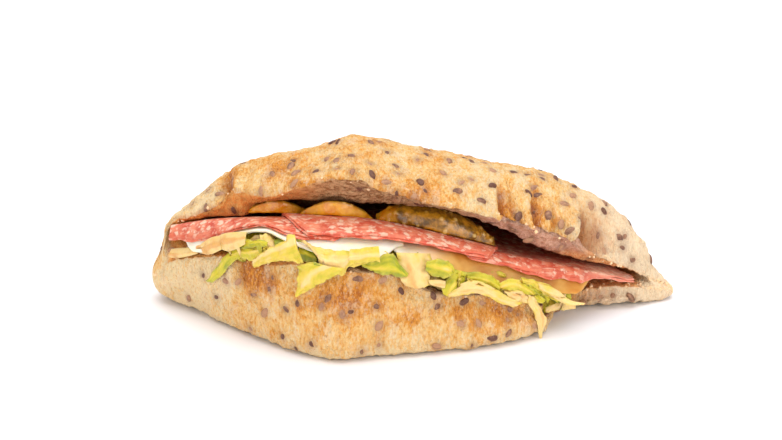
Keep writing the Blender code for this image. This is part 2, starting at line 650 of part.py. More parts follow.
def make_lettuce(rings, collection, extras):
    """Shreds of lettuce fused to a core that fills the room between the lower half and the cheese."""
    leaf = material("iceberg_lettuce", (0.80, 0.74, 0.32), 0.4)
    xs = np.arange(-82, 58, 5.6) * MM
    rows_count = 5
    bm = bmesh.new()
    upper, lower = [], []
    for row in range(rows_count):
        along = (3.5 + row * 8.5) * MM * (0.6 + 0.4 * smooth(60 * MM, 30 * MM, np.abs(xs)))
        floor = np.array([draped(rings, x, a, 0.7 * MM) for x, a in zip(xs, along)])
        high = floor.copy()
        ceiling = cheese_top(xs, floor[:, 1]) - CHEESE_THICKNESS - 1.6 * MM
        high[:, 2] = np.maximum(ceiling, floor[:, 2] + 0.7 * MM)
        upper.append([bm.verts.new(p) for p in high])
        lower.append([bm.verts.new(p) for p in floor])
    for i in range(rows_count - 1):
        for j in range(len(xs) - 1):
            for rows, order in ((upper, 1), (lower, -1)):
                a, b, c, d = rows[i][j], rows[i][j + 1], rows[i + 1][j + 1], rows[i + 1][j]
                bm.faces.new((a, b, c)[::order])
                bm.faces.new((a, c, d)[::order])
    rims = [(upper[0], lower[0]), (upper[-1], lower[-1])]
    rims += [([r[end] for r in upper], [r[end] for r in lower]) for end in (0, -1)]
    for high, low in rims:
        for j in range(len(high) - 1):
            bm.faces.new((high[j], high[j + 1], low[j + 1], low[j]))
    core = add_object("lettuce_shreds", bm, collection, leaf)
    for k, (width, *knots) in enumerate(SHREDS):
        add_object(f"shred_{k}", shred_bmesh(rings, width, knots), extras, leaf)
    join_by_union(core, extras, "EXACT")


def main():
    for obj in list(bpy.data.objects):
        bpy.data.objects.remove(obj)
    scene = bpy.context.scene
    food = bpy.data.collections.new("salami_sandwich")
    seeds = bpy.data.collections.new("seeds_to_fuse")
    shreds = bpy.data.collections.new("shreds_to_fuse")
    for group in (food, seeds, shreds):
        scene.collection.children.link(group)
    rings = roll_points(STATIONS, SECTION_COUNTS)
    make_roll(rings, food, seeds)
    make_salami(food)
    make_cheese(food)
    make_gherkins(food)
    make_lettuce(rings, food, shreds)
    # The frame's origin is under the middle of the sandwich
    for obj in food.objects:
        obj.data.transform(Matrix.Translation((-CENTRE_X, -CENTRE_Y, 0)))


main()
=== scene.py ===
# %% [markdown]
# # A salami sandwich, dressed over its CAD frame
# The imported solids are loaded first. Each visible layer is then rebuilt at a finer grain over the same
# driving curves, so that it keeps the frame's size and place.

# %% Load the frame
import math
import random

import bpy
import bmesh
import numpy as np
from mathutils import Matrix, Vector, kdtree, noise
from mathutils.bvhtree import BVHTree


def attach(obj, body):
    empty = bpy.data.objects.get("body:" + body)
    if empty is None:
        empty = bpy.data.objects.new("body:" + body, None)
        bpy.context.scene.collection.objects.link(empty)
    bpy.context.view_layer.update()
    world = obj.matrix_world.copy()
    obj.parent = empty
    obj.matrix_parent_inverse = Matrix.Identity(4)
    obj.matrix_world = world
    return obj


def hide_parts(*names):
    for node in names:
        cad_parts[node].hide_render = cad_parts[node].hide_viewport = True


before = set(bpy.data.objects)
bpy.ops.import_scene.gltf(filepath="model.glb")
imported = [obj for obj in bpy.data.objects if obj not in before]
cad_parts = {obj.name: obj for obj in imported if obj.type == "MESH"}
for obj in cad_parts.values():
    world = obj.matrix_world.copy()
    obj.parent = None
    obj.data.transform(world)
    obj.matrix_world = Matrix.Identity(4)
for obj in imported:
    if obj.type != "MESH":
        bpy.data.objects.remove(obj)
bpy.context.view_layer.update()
MM = 0.001
# The curves' own origin is this far from the middle of the frame's box
CENTRE = np.array([0.5 * MM, -5.19 * MM, 0.0])

# %% [markdown]
# ## Driving curves
# The roll is a run of C-shaped sections along X. Each curve gives one measure of the section, such as the
# height of the upper lip, at every place along the roll. They hold the knots of the CAD model, apart from
# a few of FOOT_Y, CRUMB_EDGE_Z and SLIT_OPEN, which differ by up to 3 mm.

# %% Curves along the roll
LEFT_TIP, RIGHT_TIP, TIP_Y = -95.5 * MM, 96.5 * MM, -2 * MM


def along_t(x):
    """Where x lies between the tips, from 0 to 1, drawn out near both tips so that they come out round."""
    share = (np.asarray(x, float) - LEFT_TIP) / (RIGHT_TIP - LEFT_TIP)
    return np.arccos(1 - 2 * np.clip(share, 0, 1)) / math.pi


def along_x(t):
    return LEFT_TIP + (RIGHT_TIP - LEFT_TIP) * (1 - np.cos(math.pi * np.asarray(t, float))) / 2


def curve(*knots):
    """A smooth function of x through (x, value) knots in millimetres, with no overshoot between them."""
    places = along_t([k[0] * MM for k in knots])
    values = np.array([k[1] for k in knots], float) * MM
    steps = np.diff(places)
    slopes = np.diff(values) / steps
    tangents = np.concatenate([[slopes[0]], np.zeros(len(slopes) - 1), [slopes[-1]]])
    for i in range(1, len(slopes)):
        before, after = slopes[i - 1], slopes[i]
        if before * after > 0:
            tangents[i] = 2 * before * after / (before + after)

    def value(x):
        t = np.clip(along_t(x), places[0], places[-1])
        i = np.clip(np.searchsorted(places, t, side="right") - 1, 0, len(steps) - 1)
        h = steps[i]
        s = (t - places[i]) / h
        return (
            values[i] * (1 + 2 * s) * (1 - s) ** 2
            + h * tangents[i] * s * (1 - s) ** 2
            + values[i + 1] * s**2 * (3 - 2 * s)
            + h * tangents[i + 1] * s**2 * (s - 1)
        )

    return value


def smooth(a, b, x):
    s = np.clip((np.asarray(x, float) - a) / (b - a), 0, 1)
    return s * s * (3 - 2 * s)


# The roll's outline seen from above
FOOT_Y = curve(
    (-95.5, -2), (-83, -14), (-33, -58), (-25, -61), (-13, -59), (46, -38.6), (51.5, -19.5), (68, -13.5),
    (96.5, -2),
)
BACK_Y = curve(
    (-95.5, -2), (-88, 8), (-62, 32), (-30, 48), (0, 52), (35, 46), (72, 25), (90, 8), (96.5, -2),
)
# Heights along the roll: the underside lifts only at the tips
FOOT_Z = curve((-95.5, 9), (-92, 2.5), (-86, 0), (86, 0), (93, 0.6), (96.5, 2.5))
TOP_Z = curve(
    (-95.5, 9), (-92, 18.5), (-87.5, 31.5), (-82, 36.5), (-73.5, 44.5), (-64.5, 52), (-55, 56.5),
    (-42.6, 60.4), (-30, 63.8), (-20.5, 67), (-12, 65.4), (0, 61.8), (12.4, 59), (30, 54.5), (47, 49.6),
    (65, 41.5), (74, 34.8), (83.4, 22.5), (88, 13.8), (93, 6.8), (96.5, 2.5),
)
# The back of the roll is a plain dome without the front's bump
DOME_Z = curve(
    (-95.5, 9), (-90, 22), (-76, 41), (-45, 57), (-12, 63), (30, 54), (60, 42), (80, 27), (90, 11),
    (96.5, 2.5),
)
TOP_Y = curve((-95.5, -2), (-80, -3), (-50, -13), (-20, -17), (20, -13), (60, -5), (96.5, -2))
# The two lips of the slit
LOWER_LIP_Y = curve(
    (-95.5, -2), (-84, -18), (-65, -37), (-40, -54), (-24, -57.5), (9, -50), (43, -38.5), (50, -19),
    (68, -14), (96.5, -2),
)
LOWER_LIP_Z = curve(
    (-95.5, 9), (-92, 12.5), (-89, 17.5), (-84, 21.5), (-78, 24.5), (-65, 29.5), (-54, 30.5), (-39, 33.5),
    (-24, 32.5), (-10, 30.5), (2, 24.5), (9, 21), (24, 19), (40, 14), (46, 9.5), (52, 8.5), (70, 9),
    (84, 7), (96.5, 2.5),
)
UPPER_LIP_Y = curve(
    (-95.5, -2), (-86, -8), (-67, -22), (-40, -40), (-20, -45), (9, -42), (50, -32), (64, -25.5),
    (70, -18.5), (87, -7), (96.5, -2),
)
UPPER_LIP_Z = curve(
    (-95.5, 9), (-92, 18), (-88.5, 28.5), (-86, 31.6), (-78.5, 35.6), (-72, 39.6), (-67.5, 43),
    (-63.5, 48.2), (-51, 50.2), (-40, 55.3), (-26, 60), (-19, 60.2), (-11, 56.2), (9, 50), (29.5, 43.6),
    (50, 35.2), (54, 34), (58, 29.3), (65, 24), (73, 18.6), (81, 13.4), (87, 9.2), (96.5, 2.5),
)
# The lower edge of the crumb wall behind the upper lip
CRUMB_EDGE_Y = curve(
    (-95.5, -2), (-87, -5), (-73, -13), (-61, -21), (-39, -28), (-5, -33), (20, -32), (45, -26),
    (60, -20), (80, -9), (96.5, -2),
)
CRUMB_EDGE_Z = curve(
    (-95.5, 9), (-91, 22), (-87, 30), (-73, 36), (-61, 42.4), (-39, 47.4), (-22, 47.8), (-5, 47.4),
    (9, 45.8), (30, 38), (45, 28.6), (60, 22), (71, 17.4), (80, 13.4), (88, 9), (96.5, 2.5),
)
# The closed end of the slit, where the two halves stay joined
HINGE_Y = curve(
    (-95.5, -4), (-88, -3), (-80, 4), (-60, 22), (-10, 40), (40, 33), (75, 11), (86, -3), (96.5, -4),
)
HINGE_Z = curve((-95.5, 9), (-88, 26), (-60, 28), (-10, 28), (40, 21), (75, 12.6), (88, 8.4), (96.5, 2.5))
HINGE_HALF = curve((-95.5, 1), (-84, 3), (-60, 5), (-10, 6), (40, 5), (70, 3), (86, 0.6), (96.5, 0.4))
# How much of the slit's depth is open at x: none at the tips
SLIT_OPEN = curve((-95.5, 0), (-91, 0), (-87.5, 1000), (84, 1000), (88.5, 0), (96.5, 0))

# The visible band of salami: its rear edge and its drooping front edge
BAND_REAR_Y = curve(
    (-90, -11), (-84, -14), (-64, -26), (-42, -35), (-20, -39), (6, -38), (30, -33), (48, -28), (67, -20),
    (80, -11),
)
BAND_REAR_Z = curve(
    (-90, 31.5), (-84.6, 33), (-64, 40), (-42, 43.4), (-22, 43.6), (-10, 42), (6, 38), (20, 33.4),
    (30, 29.8), (48, 24), (67, 16.8), (78, 11.8), (84, 10.2),
)
BAND_FRONT_Y = curve(
    (-90, -15), (-84, -19), (-73, -29), (-61, -38), (-50, -45), (-41, -50), (-20, -52.5), (3.5, -49),
    (18, -45), (44, -36), (58, -29), (74, -17), (82, -12),
)
BAND_FRONT_Z = curve(
    (-90, 28.5), (-84, 29.6), (-73, 33), (-66, 37.2), (-60, 41), (-50, 44.2), (-41, 42.4), (-31, 41),
    (-19, 40.2), (-9, 39.4), (3.5, 37), (18, 32.8), (31, 28.2), (44, 22.4), (58, 16.8), (66, 14),
    (74, 11.6), (84, 9.8),
)
# How much the slices sag behind the band's rear edge, where the gherkins weigh on them
BAND_SAG = curve((-84, 0), (-70, 1.2), (-50, 2.8), (-20, 3.4), (10, 3.2), (40, 2.8), (58, 1.0), (70, 0))
# How far back the slices reach between the halves
SLICE_BACK_Y = curve(
    (-90, -11), (-84, -7), (-70, 4), (-50, 18), (-10, 28), (40, 22), (60, 8), (74, -6), (84, -10.5),
)


def band_height(x, y):
    """The upper side of the lower salami slices, which droop at their front edge."""
    front_y, front_z = BAND_FRONT_Y(x), BAND_FRONT_Z(x)
    rear_y, rear_z = BAND_REAR_Y(x), BAND_REAR_Z(x)
    slope = (rear_z - HINGE_Z(x) - 1 * MM) / np.maximum(HINGE_Y(x) - rear_y, 8 * MM)
    ahead = np.clip((rear_y - y) / (rear_y - front_y), 0, 1.3)
    curl = np.where(ahead < 1, ahead**2, 0.3 + 0.7 * ahead)
    drop = (rear_z + slope * (rear_y - front_y) - front_z) * (1 - 0.7 * smooth(70 * MM, 80 * MM, x))
    sag = BAND_SAG(x) * (1 - np.exp(-np.maximum(y - rear_y, 0) / (9 * MM)))
    return rear_z + slope * (rear_y - y) - drop * curl - sag


# %% [markdown]
# ## Sections
# A section runs from the upper lip over the top, the back and the underside to the lower lip, then through
# the slit and back. Where the slit is closed, its points lie on the front of the crust.

# %% Sections of the roll
# The first 14 keys of a section are crust. The foot lies from key 8 to key 11, and the roof starts at 19
CRUST_KEYS, FOOT_KEYS, ROOF_KEY = 14, (8, 11), 19
FINE_COUNTS = (6, 34, 34, 16, 12, 8, 6, 4, 4, 4, 4, 6, 26, 28, 6, 10, 4, 2, 2, 4, 6, 12, 8)


def section_keys(x):
    """The (y, z) key points of the C-shaped sections at all places x, starting at the upper lip's nose."""
    foot_y, back_y, foot_z, top_y, top_z = FOOT_Y(x), BACK_Y(x), FOOT_Z(x), TOP_Y(x), TOP_Z(x)
    low_y, low_z, up_y, up_z = LOWER_LIP_Y(x), LOWER_LIP_Z(x), UPPER_LIP_Y(x), UPPER_LIP_Z(x)
    edge_y, edge_z = CRUMB_EDGE_Y(x), CRUMB_EDGE_Z(x)
    hinge_y, hinge_z, half = HINGE_Y(x), HINGE_Z(x), HINGE_HALF(x)
    small = np.minimum(1.0, (top_z - foot_z) / (30 * MM))
    rise = DOME_Z(x) - foot_z
    back_z = foot_z + 0.36 * rise
    crust = [
        (up_y, up_z),
        (up_y - 0.3 * MM * small, up_z + 2.2 * MM * small),
        (up_y + 0.4 * (top_y - up_y), up_z + 0.8 * (top_z - up_z)),
        (top_y, top_z),
        (top_y + 0.5 * (back_y - top_y), foot_z + 0.81 * rise),
        (top_y + 0.87 * (back_y - top_y), foot_z + 0.56 * rise),
        (back_y, back_z),
        (back_y - 1.5 * MM * small, foot_z + 0.12 * rise),
        (back_y - 9 * MM * small, foot_z),
        (0.5 * (foot_y + back_y), foot_z),
        (foot_y + 6 * MM * small, foot_z),
        (foot_y - 0.6 * MM * small, foot_z + 2.4 * MM * small),
        (0.5 * (foot_y + low_y) - 2.4 * MM * small, foot_z + 0.5 * (low_z - foot_z)),
        (low_y - 1.0 * MM * small, low_z - 3.4 * MM * small),
    ]
    slit = [
        (low_y, low_z),
        (low_y + 2.6 * MM * small, low_z + 0.2 * MM * small),
        (low_y + 0.5 * (hinge_y - low_y), 0.5 * (low_z + hinge_z - half)),
        (hinge_y - 0.8 * half, hinge_z - half),
        (hinge_y, hinge_z),
        (hinge_y - 0.8 * half, hinge_z + half),
        (edge_y + 0.5 * (hinge_y - edge_y), 0.5 * (edge_z + hinge_z + half)),
        (edge_y, edge_z),
        (0.35 * edge_y + 0.65 * up_y, 0.35 * edge_z + 0.65 * up_z),
    ]
    opening = SLIT_OPEN(x)
    for i, (y, z) in enumerate(slit):
        share = i / len(slit)
        front_y = low_y + share * (up_y - low_y) - 1.5 * MM * small * math.sin(math.pi * share)
        front_z = low_z + share * (up_z - low_z)
        slit[i] = (front_y + opening * (y - front_y), front_z + opening * (z - front_z))
    return np.array(crust + slit).transpose(2, 0, 1)


def spaced_spline(points, counts):
    """Closed Catmull-Rom curves through each section's key points, with counts[k] samples from key k."""
    before, after, beyond = (np.roll(points, shift, axis=1) for shift in (1, -1, -2))

    def knot(a, b):
        return np.maximum(np.sqrt(np.linalg.norm(b - a, axis=2)), 1e-5)[:, :, None]

    d0, d1, d2 = knot(before, points), knot(points, after), knot(after, beyond)
    start = d1 * ((points - before) / d0 - (after - before) / (d0 + d1) + (after - points) / d1)
    end = d1 * ((after - points) / d1 - (beyond - points) / (d1 + d2) + (beyond - after) / d2)
    columns = []
    for k, count in enumerate(counts):
        for s in np.arange(count) / count:
            columns.append(
                points[:, k] * (1 + 2 * s) * (1 - s) ** 2
                + start[:, k] * s * (1 - s) ** 2
                + after[:, k] * s**2 * (3 - 2 * s)
                + end[:, k] * s**2 * (s - 1)
            )
    return np.stack(columns, axis=1)


def bumps(points, size, seed, octaves=1):
    """Smooth random values, about -1 to 1, that depend on the place alone."""
    shift = Vector((seed, 2 * seed, -seed))
    flat = np.asarray(points, float).reshape(-1, 3)
    if octaves == 1:
        values = [noise.noise(Vector(p) / size + shift) for p in flat]
    else:
        values = [noise.fractal(Vector(p) / size + shift, 1.0, 2.0, octaves) for p in flat]
    return np.array(values).reshape(np.asarray(points).shape[:-1])


def cells(points, size):
    """How far each point is from the middle of its cell, among irregular cells of that size."""
    flat = np.asarray(points, float).reshape(-1, 3)
    values = [noise.voronoi(Vector(p) / size)[0][0] for p in flat]
    return np.array(values).reshape(np.asarray(points).shape[:-1])


def surface_normals(rings):
    along = np.gradient(rings, axis=0)
    around = np.roll(rings, -1, axis=1) - np.roll(rings, 1, axis=1)
    normals = np.cross(along, around)
    return normals / np.maximum(np.linalg.norm(normals, axis=2, keepdims=True), 1e-12)


# %% [markdown]
# ## Short ways to build meshes and materials
# Every piece is a loft through rings of points. Shader sums are written with ordinary operators, which one
# small class turns into Math nodes.

# %% Mesh helpers
def add_object(name, data):
    """An object of the scene that holds the data."""
    made = bpy.data.objects.new(name, data)
    bpy.context.scene.collection.objects.link(made)
    return made


def both_sides(values):
    """Values across the upper side of a sheet, then the same ones back along its lower side."""
    return np.concatenate([values, values[:, ::-1]], axis=1)


def loft(name, rings, start, end, attributes=None):
    """A closed mesh through rings of points with a pole at each end, and float attributes on its points."""
    rows, count = rings.shape[:2]
    vertices = np.vstack([rings.reshape(-1, 3), [start], [end]]) - CENTRE
    i, j = np.meshgrid(np.arange(rows - 1), np.arange(count), indexing="ij")
    k = (j + 1) % count
    quads = np.stack([i * count + j, i * count + k, (i + 1) * count + k, (i + 1) * count + j], axis=-1)
    j = np.arange(count)
    k = (j + 1) % count
    first, last, base = rows * count, rows * count + 1, (rows - 1) * count
    faces = quads.reshape(-1, 4).tolist()
    faces += np.stack([np.full(count, first), k, j], axis=-1).tolist()
    faces += np.stack([np.full(count, last), base + j, base + k], axis=-1).tolist()
    mesh = bpy.data.meshes.new(name)
    mesh.from_pydata(vertices.tolist(), [], faces)
    check = bmesh.new()
    check.from_mesh(mesh)
    if check.calc_volume(signed=True) < 0:
        mesh.flip_normals()
    check.free()
    for key, values in (attributes or {}).items():
        layer = mesh.attributes.new(key, "FLOAT", "POINT")
        values = np.asarray(values, float)
        ends = [values[0].mean(), values[-1].mean()]
        layer.data.foreach_set("value", np.concatenate([values.reshape(-1), ends]).astype(np.float32))
    mesh.shade_smooth()
    return add_object(name, mesh)


def join(name, objects):
    """One mesh from several, with the attributes that they share."""
    joined = bpy.data.meshes.new(name)
    merged = bmesh.new()
    for obj in objects:
        merged.from_mesh(obj.data)
        mesh = obj.data
        bpy.data.objects.remove(obj)
        bpy.data.meshes.remove(mesh)
    merged.to_mesh(joined)
    merged.free()
    return add_object(name, joined)


# %% Shader helpers
def feed(tree, socket, value):
    """Links a shader value to a socket, or sets the socket to a plain number or colour."""
    if isinstance(value, Socket):
        tree.links.new(value.out, socket)
    elif isinstance(value, tuple) and len(value) == 3 and socket.type == "RGBA":
        socket.default_value = (*value, 1)
    else:
        socket.default_value = value


class Socket:
    """A shader output that ordinary operators turn into Math nodes."""

    def __init__(self, tree, out):
        self.tree, self.out = tree, out

    def maths(self, operation, *others, clamp=False):
        node = self.tree.nodes.new("ShaderNodeMath")
        node.operation, node.use_clamp = operation, clamp
        for socket, value in zip(node.inputs, (self, *others)):
            feed(self.tree, socket, value)
        return Socket(self.tree, node.outputs[0])

    def __add__(self, other):
        return self.maths("ADD", other)

    def __sub__(self, other):
        return self.maths("SUBTRACT", other)

    def __mul__(self, other):
        return self.maths("MULTIPLY", other)

    __rmul__ = __mul__

    def clip(self):
        return self.maths("ADD", 0.0, clamp=True)


class Surface:
    """A Principled material, with short ways to add nodes to it."""

    def __init__(self, name, **fixed):
        self.material = bpy.data.materials.new(name)
        self.material.use_nodes = True
        self.tree = self.material.node_tree
        self.shader = self.tree.nodes["Principled BSDF"]
        self.set(**fixed)

    def set(self, **inputs):
        for key, value in inputs.items():
            feed(self.tree, self.shader.inputs[key.replace("_", " ")], value)

    def node(self, kind, settings=None, output=0, **inputs):
        made = self.tree.nodes.new("ShaderNode" + kind)
        for key, value in (settings or {}).items():
            setattr(made, key, value)
        for key, value in inputs.items():
            feed(self.tree, made.inputs[key.replace("_", " ")], value)
        return Socket(self.tree, made.outputs[output])

    def attribute(self, name):
        return self.node("Attribute", {"attribute_name": name}, "Fac")

    def place(self, stretch=(1, 1, 1), seed=0.0):
        place = self.node("TexCoord", output="Object")
        return self.node("Mapping", Vector=place, Scale=stretch, Location=(seed, -seed, 0.7 * seed))

    def noise(self, size, detail=2.0, stretch=(1, 1, 1), seed=0.0, roughness=0.5):
        """Noise from 0 to 1 with features of that size in metres."""
        place = self.place(stretch, seed)
        return self.node("TexNoise", Vector=place, Scale=1 / size, Detail=detail, Roughness=roughness)

    def warped(self, place, size, amount):
        """Coordinates pushed about by noise of that size, by up to the amount in metres."""
        push = self.node("TexNoise", output="Color", Vector=place, Scale=1 / size, Detail=2.0)
        push = self.node("VectorMath", {"operation": "SUBTRACT"}, Vector=push)
        push.out.node.inputs[1].default_value = (0.5, 0.5, 0.5)
        scaled = self.node("VectorMath", {"operation": "MULTIPLY_ADD"}, Vector=push)
        scaled.out.node.inputs[1].default_value = (2 * amount,) * 3
        feed(self.tree, scaled.out.node.inputs[2], place)
        return scaled

    def cells(self, size, feature="F1", stretch=(1, 1, 1), seed=0.0, warp=None):
        """The distance from the middle, or else the edge, of cells of that size in metres."""
        place = self.place(stretch, seed)
        if warp:
            place = self.warped(place, *warp)
        return self.node("TexVoronoi", {"feature": feature}, "Distance", Vector=place, Scale=1 / size)

    def step(self, value, low, high):
        """0 below low and 1 above high, with a smooth change between."""
        settings = {"interpolation_type": "SMOOTHSTEP"}
        return self.node("MapRange", settings, Value=value, From_Min=low, From_Max=high)

    def blend(self, factor, first, second):
        made = self.tree.nodes.new("ShaderNodeMix")
        made.data_type = "RGBA"
        feed(self.tree, made.inputs[0], factor)
        feed(self.tree, made.inputs[6], first)
        feed(self.tree, made.inputs[7], second)
        return Socket(self.tree, made.outputs[2])

    def layers(self, base, *rows):
        """The base colour with others laid over it in turn, each as (share, red, green, blue)."""
        for share, *colour in rows:
            base = self.blend(share, base, paint(*colour))
        return base

    def bump(self, height, depth, strength=1.0):
        normal = self.node("Bump", Height=height, Distance=depth, Strength=strength)
        self.set(Normal=normal)


def paint(red, green, blue):
    """A colour given as a screen shows it, from 0 to 255, as the linear values that a shader takes."""
    channels = [c / 255 for c in (red, green, blue)]
    return tuple(c / 12.92 if c <= 0.04045 else ((c + 0.055) / 1.055) ** 2.4 for c in channels)


def dress(piece, surface, slot, *nodes):
    """Gives a piece its material, hangs it under the root body and hides the CAD nodes that it stands for."""
    piece.data.materials.clear()
    piece.data.materials.append(surface.material)
    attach(piece, "root")
    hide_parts(*nodes)
    print(piece.name, len(piece.data.polygons), "faces")


# %% [markdown]
# ## The roll
# The rings of the CAD model are sampled several times as finely. Folds, blisters, stretch lines near the
# lips and the open crumb inside are then pressed into the surface along its normals.

# %% The roll's relief
STATIONS = 404
low_lip = sum(FINE_COUNTS[:CRUST_KEYS])
samples = sum(FINE_COUNTS)
t = (np.arange(STATIONS) + 1) / (STATIONS + 1)
roll_x = along_x(t)
profile = spaced_spline(section_keys(roll_x), FINE_COUNTS)
rings = np.concatenate([np.repeat(roll_x[:, None, None], samples, axis=1), profile], axis=2)
key_index = np.concatenate([[0], np.cumsum(FINE_COUNTS)])

# At the left the crumb comes down onto the filling, in a wall behind the gherkins
roof = rings[:, key_index[ROOF_KEY] :]
roof_x, roof_y, roof_z = roof[:, :, 0], roof[:, :, 1], roof[:, :, 2]
nearer = smooth(-50 * MM, -61 * MM, roof_x)
starts = (1 - nearer) * -16 * MM + nearer * (CRUMB_EDGE_Y(roof_x) - 5 * MM)
closed = smooth(0, 4 * MM, roof_y - starts) * smooth(-10 * MM, -24 * MM, roof_x)
low_roof = np.minimum(roof_z, band_height(roof_x, roof_y) + (3.0 - 2.2 * nearer) * MM)
roof[:, :, 2] += closed * (low_roof - roof[:, :, 2])
normals = surface_normals(rings)


def from_lip(index):
    """Arc length from a sample of the section, in metres, at every point of the rings."""
    steps = np.linalg.norm(np.diff(rings, axis=1), axis=2)
    reach = np.concatenate([np.zeros((STATIONS, 1)), np.cumsum(steps, axis=1)], axis=1)
    return reach - reach[:, index : index + 1]


past_up = from_lip(0)
past_low = from_lip(low_lip)
column = np.arange(samples)
on_crust = column < low_lip
crust_reach = np.where(on_crust, np.minimum(past_up, -past_low), 0)
ease = np.minimum(1.0, np.minimum(roll_x - LEFT_TIP, RIGHT_TIP - roll_x) / (7 * MM))[:, None]
x_mm = rings[:, :, 0] / MM

crust_share = smooth(0, 3.0 * MM, crust_reach)
lumps = 0.9 * MM * bumps(rings, 19 * MM, 3.1) + 0.36 * MM * bumps(rings, 19 * MM / 2.6, 8.4)
blister = bumps(rings * [1.25, 0.9, 0.8], 4.4 * MM, 12.3, 3)
height = crust_share * lumps + (1 - crust_share) * 0.2 * MM * bumps(rings, 7 * MM, 5.7)
height += crust_share * 0.62 * MM * blister
height += crust_share * 0.34 * MM * bumps(rings * [1.4, 0.9, 0.7], 2.1 * MM, 31.0, 2)

# Each fold: x at the lip, how it leans, width and depth in mm, how far the skin steps back beyond it (below 0
# for the left side), and whether it is in the upper half
FOLDS = (
    (-65, -0.10, 2.2, 2.6, -1.4, True),
    (-59, 0.15, 1.5, 0.9, 0.0, True),
    (31.5, -0.12, 1.2, 2.6, 1.2, True),
    (36.5, -0.18, 1.0, 0.8, 0.0, True),
    (43, -0.05, 1.2, 2.6, 0.9, True),
    (49.5, 0.05, 1.1, 0.9, 0.0, True),
    (58, 0.16, 1.5, 4.0, 2.8, True),
    (-60, 0.10, 2.0, 1.8, 0.0, False),
    (-30, -0.15, 1.8, 0.8, 0.0, False),
    (14, 0.2, 1.6, 0.7, 0.0, False),
)
fold_depth = np.zeros_like(height)
for place, lean, width, depth, step, upper in FOLDS:
    reach = past_up if upper else -past_low
    wander = 1.2 * bumps(np.stack([reach, np.full_like(reach, place * MM), 0 * reach], axis=2), 9 * MM, 4.4)
    beyond = x_mm - place - lean * reach / MM - wander
    length = 26 * MM if upper else 16 * MM
    fade = np.where(on_crust & (reach >= 0), smooth(length, 6 * MM, reach), 0)
    fold_depth += depth * fade * np.exp(-((beyond / width) ** 2))
    fold_depth -= 0.4 * depth * fade * np.exp(-((beyond / width + 1.9) ** 2))
    side = beyond * (1 if step > 0 else -1)
    fold_depth += abs(step) * fade * smooth(0, 1.5, side) * smooth(15, 4, side)
height -= fold_depth * MM
# Painted shade: the fold grooves are darkened in the crust's colour
crease = np.clip(fold_depth / 2.4 - 0.3, 0, 1)

# Stretch lines run up from the lips
near_up = np.where(on_crust, smooth(20 * MM, 3 * MM, past_up), 0)
near_low = np.where(on_crust, smooth(16 * MM, 2 * MM, -past_low), 0)
lines = bumps(np.stack([rings[:, :, 0] * 6, past_up, 0 * past_up], axis=2), 11 * MM, 17.0, 3)
pulled = near_up * (0.35 + 0.65 * smooth(10, 34, x_mm)) + 0.6 * near_low
height += 0.8 * MM * lines * pulled

# The crumb is open: cells of 2 to 4 mm sink into it
crumb_share = 1 - smooth(-0.5 * MM, 1.2 * MM, crust_reach)
crumb_share = crumb_share * smooth(-91, -86, x_mm) * smooth(87, 80, x_mm)
holes = smooth(0.55, 0.1, cells(rings, 3.6 * MM))
inside = np.where(on_crust, 0, np.minimum(past_low, past_up[:, -1:] - past_up + 9 * MM))
smooth_wall = smooth(-20, -40, x_mm)
height -= crumb_share * (1.1 - 0.9 * smooth_wall) * MM * holes * smooth(0, 2 * MM, inside)
height += crumb_share * 0.4 * MM * bumps(rings, 2.1 * MM, 6.6, 2)
height += crumb_share * (0.6 - 0.4 * smooth_wall) * MM * bumps(rings * [0.6, 1, 1.3], 2.6 * MM, 7.7, 3)
rings = rings + normals * (height * ease)[:, :, None]

# Ragged lips
for index in (0, low_lip):
    ragged = 0.5 * MM * bumps(rings, 3.1 * MM, 40.0 + index, 2)
    near = np.exp(-((from_lip(index) / (1.6 * MM)) ** 2)) * ease
    rings[:, :, 2] += ragged * near
    rings[:, :, 1] += 0.6 * ragged * near
foot = FOOT_Z(rings[:, 0, 0])
rings[:, :, 2] = np.maximum(rings[:, :, 2], foot[:, None])
print("roll:", rings.shape, "relief in mm:", [round(v / MM, 2) for v in (height.min(), height.max())])

# %% [markdown]
# Seeds are drawn on the crust by a seeded rule that keeps them apart. The crust rises a little over each
# one and is darkened round it with painted shade, and the seeds themselves lie half sunk in the skin.

# %% Seeds in the crust
SEEDS = 300
rng = random.Random(23)
normals = surface_normals(rings)
seed_spots = []
tree = kdtree.KDTree(SEEDS)
while len(seed_spots) < SEEDS:
    x = rng.uniform(-93 * MM, 93 * MM)
    i = int(np.clip(float(along_t(x)) * (STATIONS + 1) - 1, 4, STATIONS - 5))
    j = rng.randrange(2, samples - 6)
    if not on_crust[j]:
        if rng.random() < 0.55:
            continue
    elif key_index[FOOT_KEYS[0]] <= j < key_index[FOOT_KEYS[1]] or crust_reach[i, j] < 1.0 * MM:
        continue
    # Wide samples count for more, so that the seeds spread evenly over the skin
    gap = np.linalg.norm(rings[i, j + 1] - rings[i, j]) * np.linalg.norm(rings[i + 1, j] - rings[i, j])
    if rng.random() > gap / (1.0 * MM) ** 2 * 2.0:
        continue
    # The right end of the lid is the most thickly seeded, and the left end the least
    if rng.random() > 0.55 + 0.45 * smooth(-40, 30, x / MM):
        continue
    place = Vector(rings[i, j])
    nearest = 3.0 * MM if rng.random() < 0.25 else 6.0 * MM
    if any((place - other[0]).length < nearest for other in seed_spots):
        continue
    tree.insert(place, len(seed_spots))
    turn, size, tone = rng.uniform(0, math.tau), rng.uniform(0.66, 1.12), rng.random()
    seed_spots.append((place, Vector(normals[i, j]), turn, size, tone))
tree.balance()
from_seed = np.array([tree.find(point)[2] for point in rings.reshape(-1, 3)]).reshape(height.shape) / MM
# Painted shade round each seed
stain = np.exp(-((from_seed / 2.1) ** 2))
ring_round_seed = np.exp(-((from_seed / 2.4) ** 2)) - np.exp(-((from_seed / 1.3) ** 2))
swell = np.where(on_crust, 0.5 * MM, 0.2 * MM) * ring_round_seed
rings = rings + normals * (swell * ease)[:, :, None]
print(len(seed_spots), "seeds")

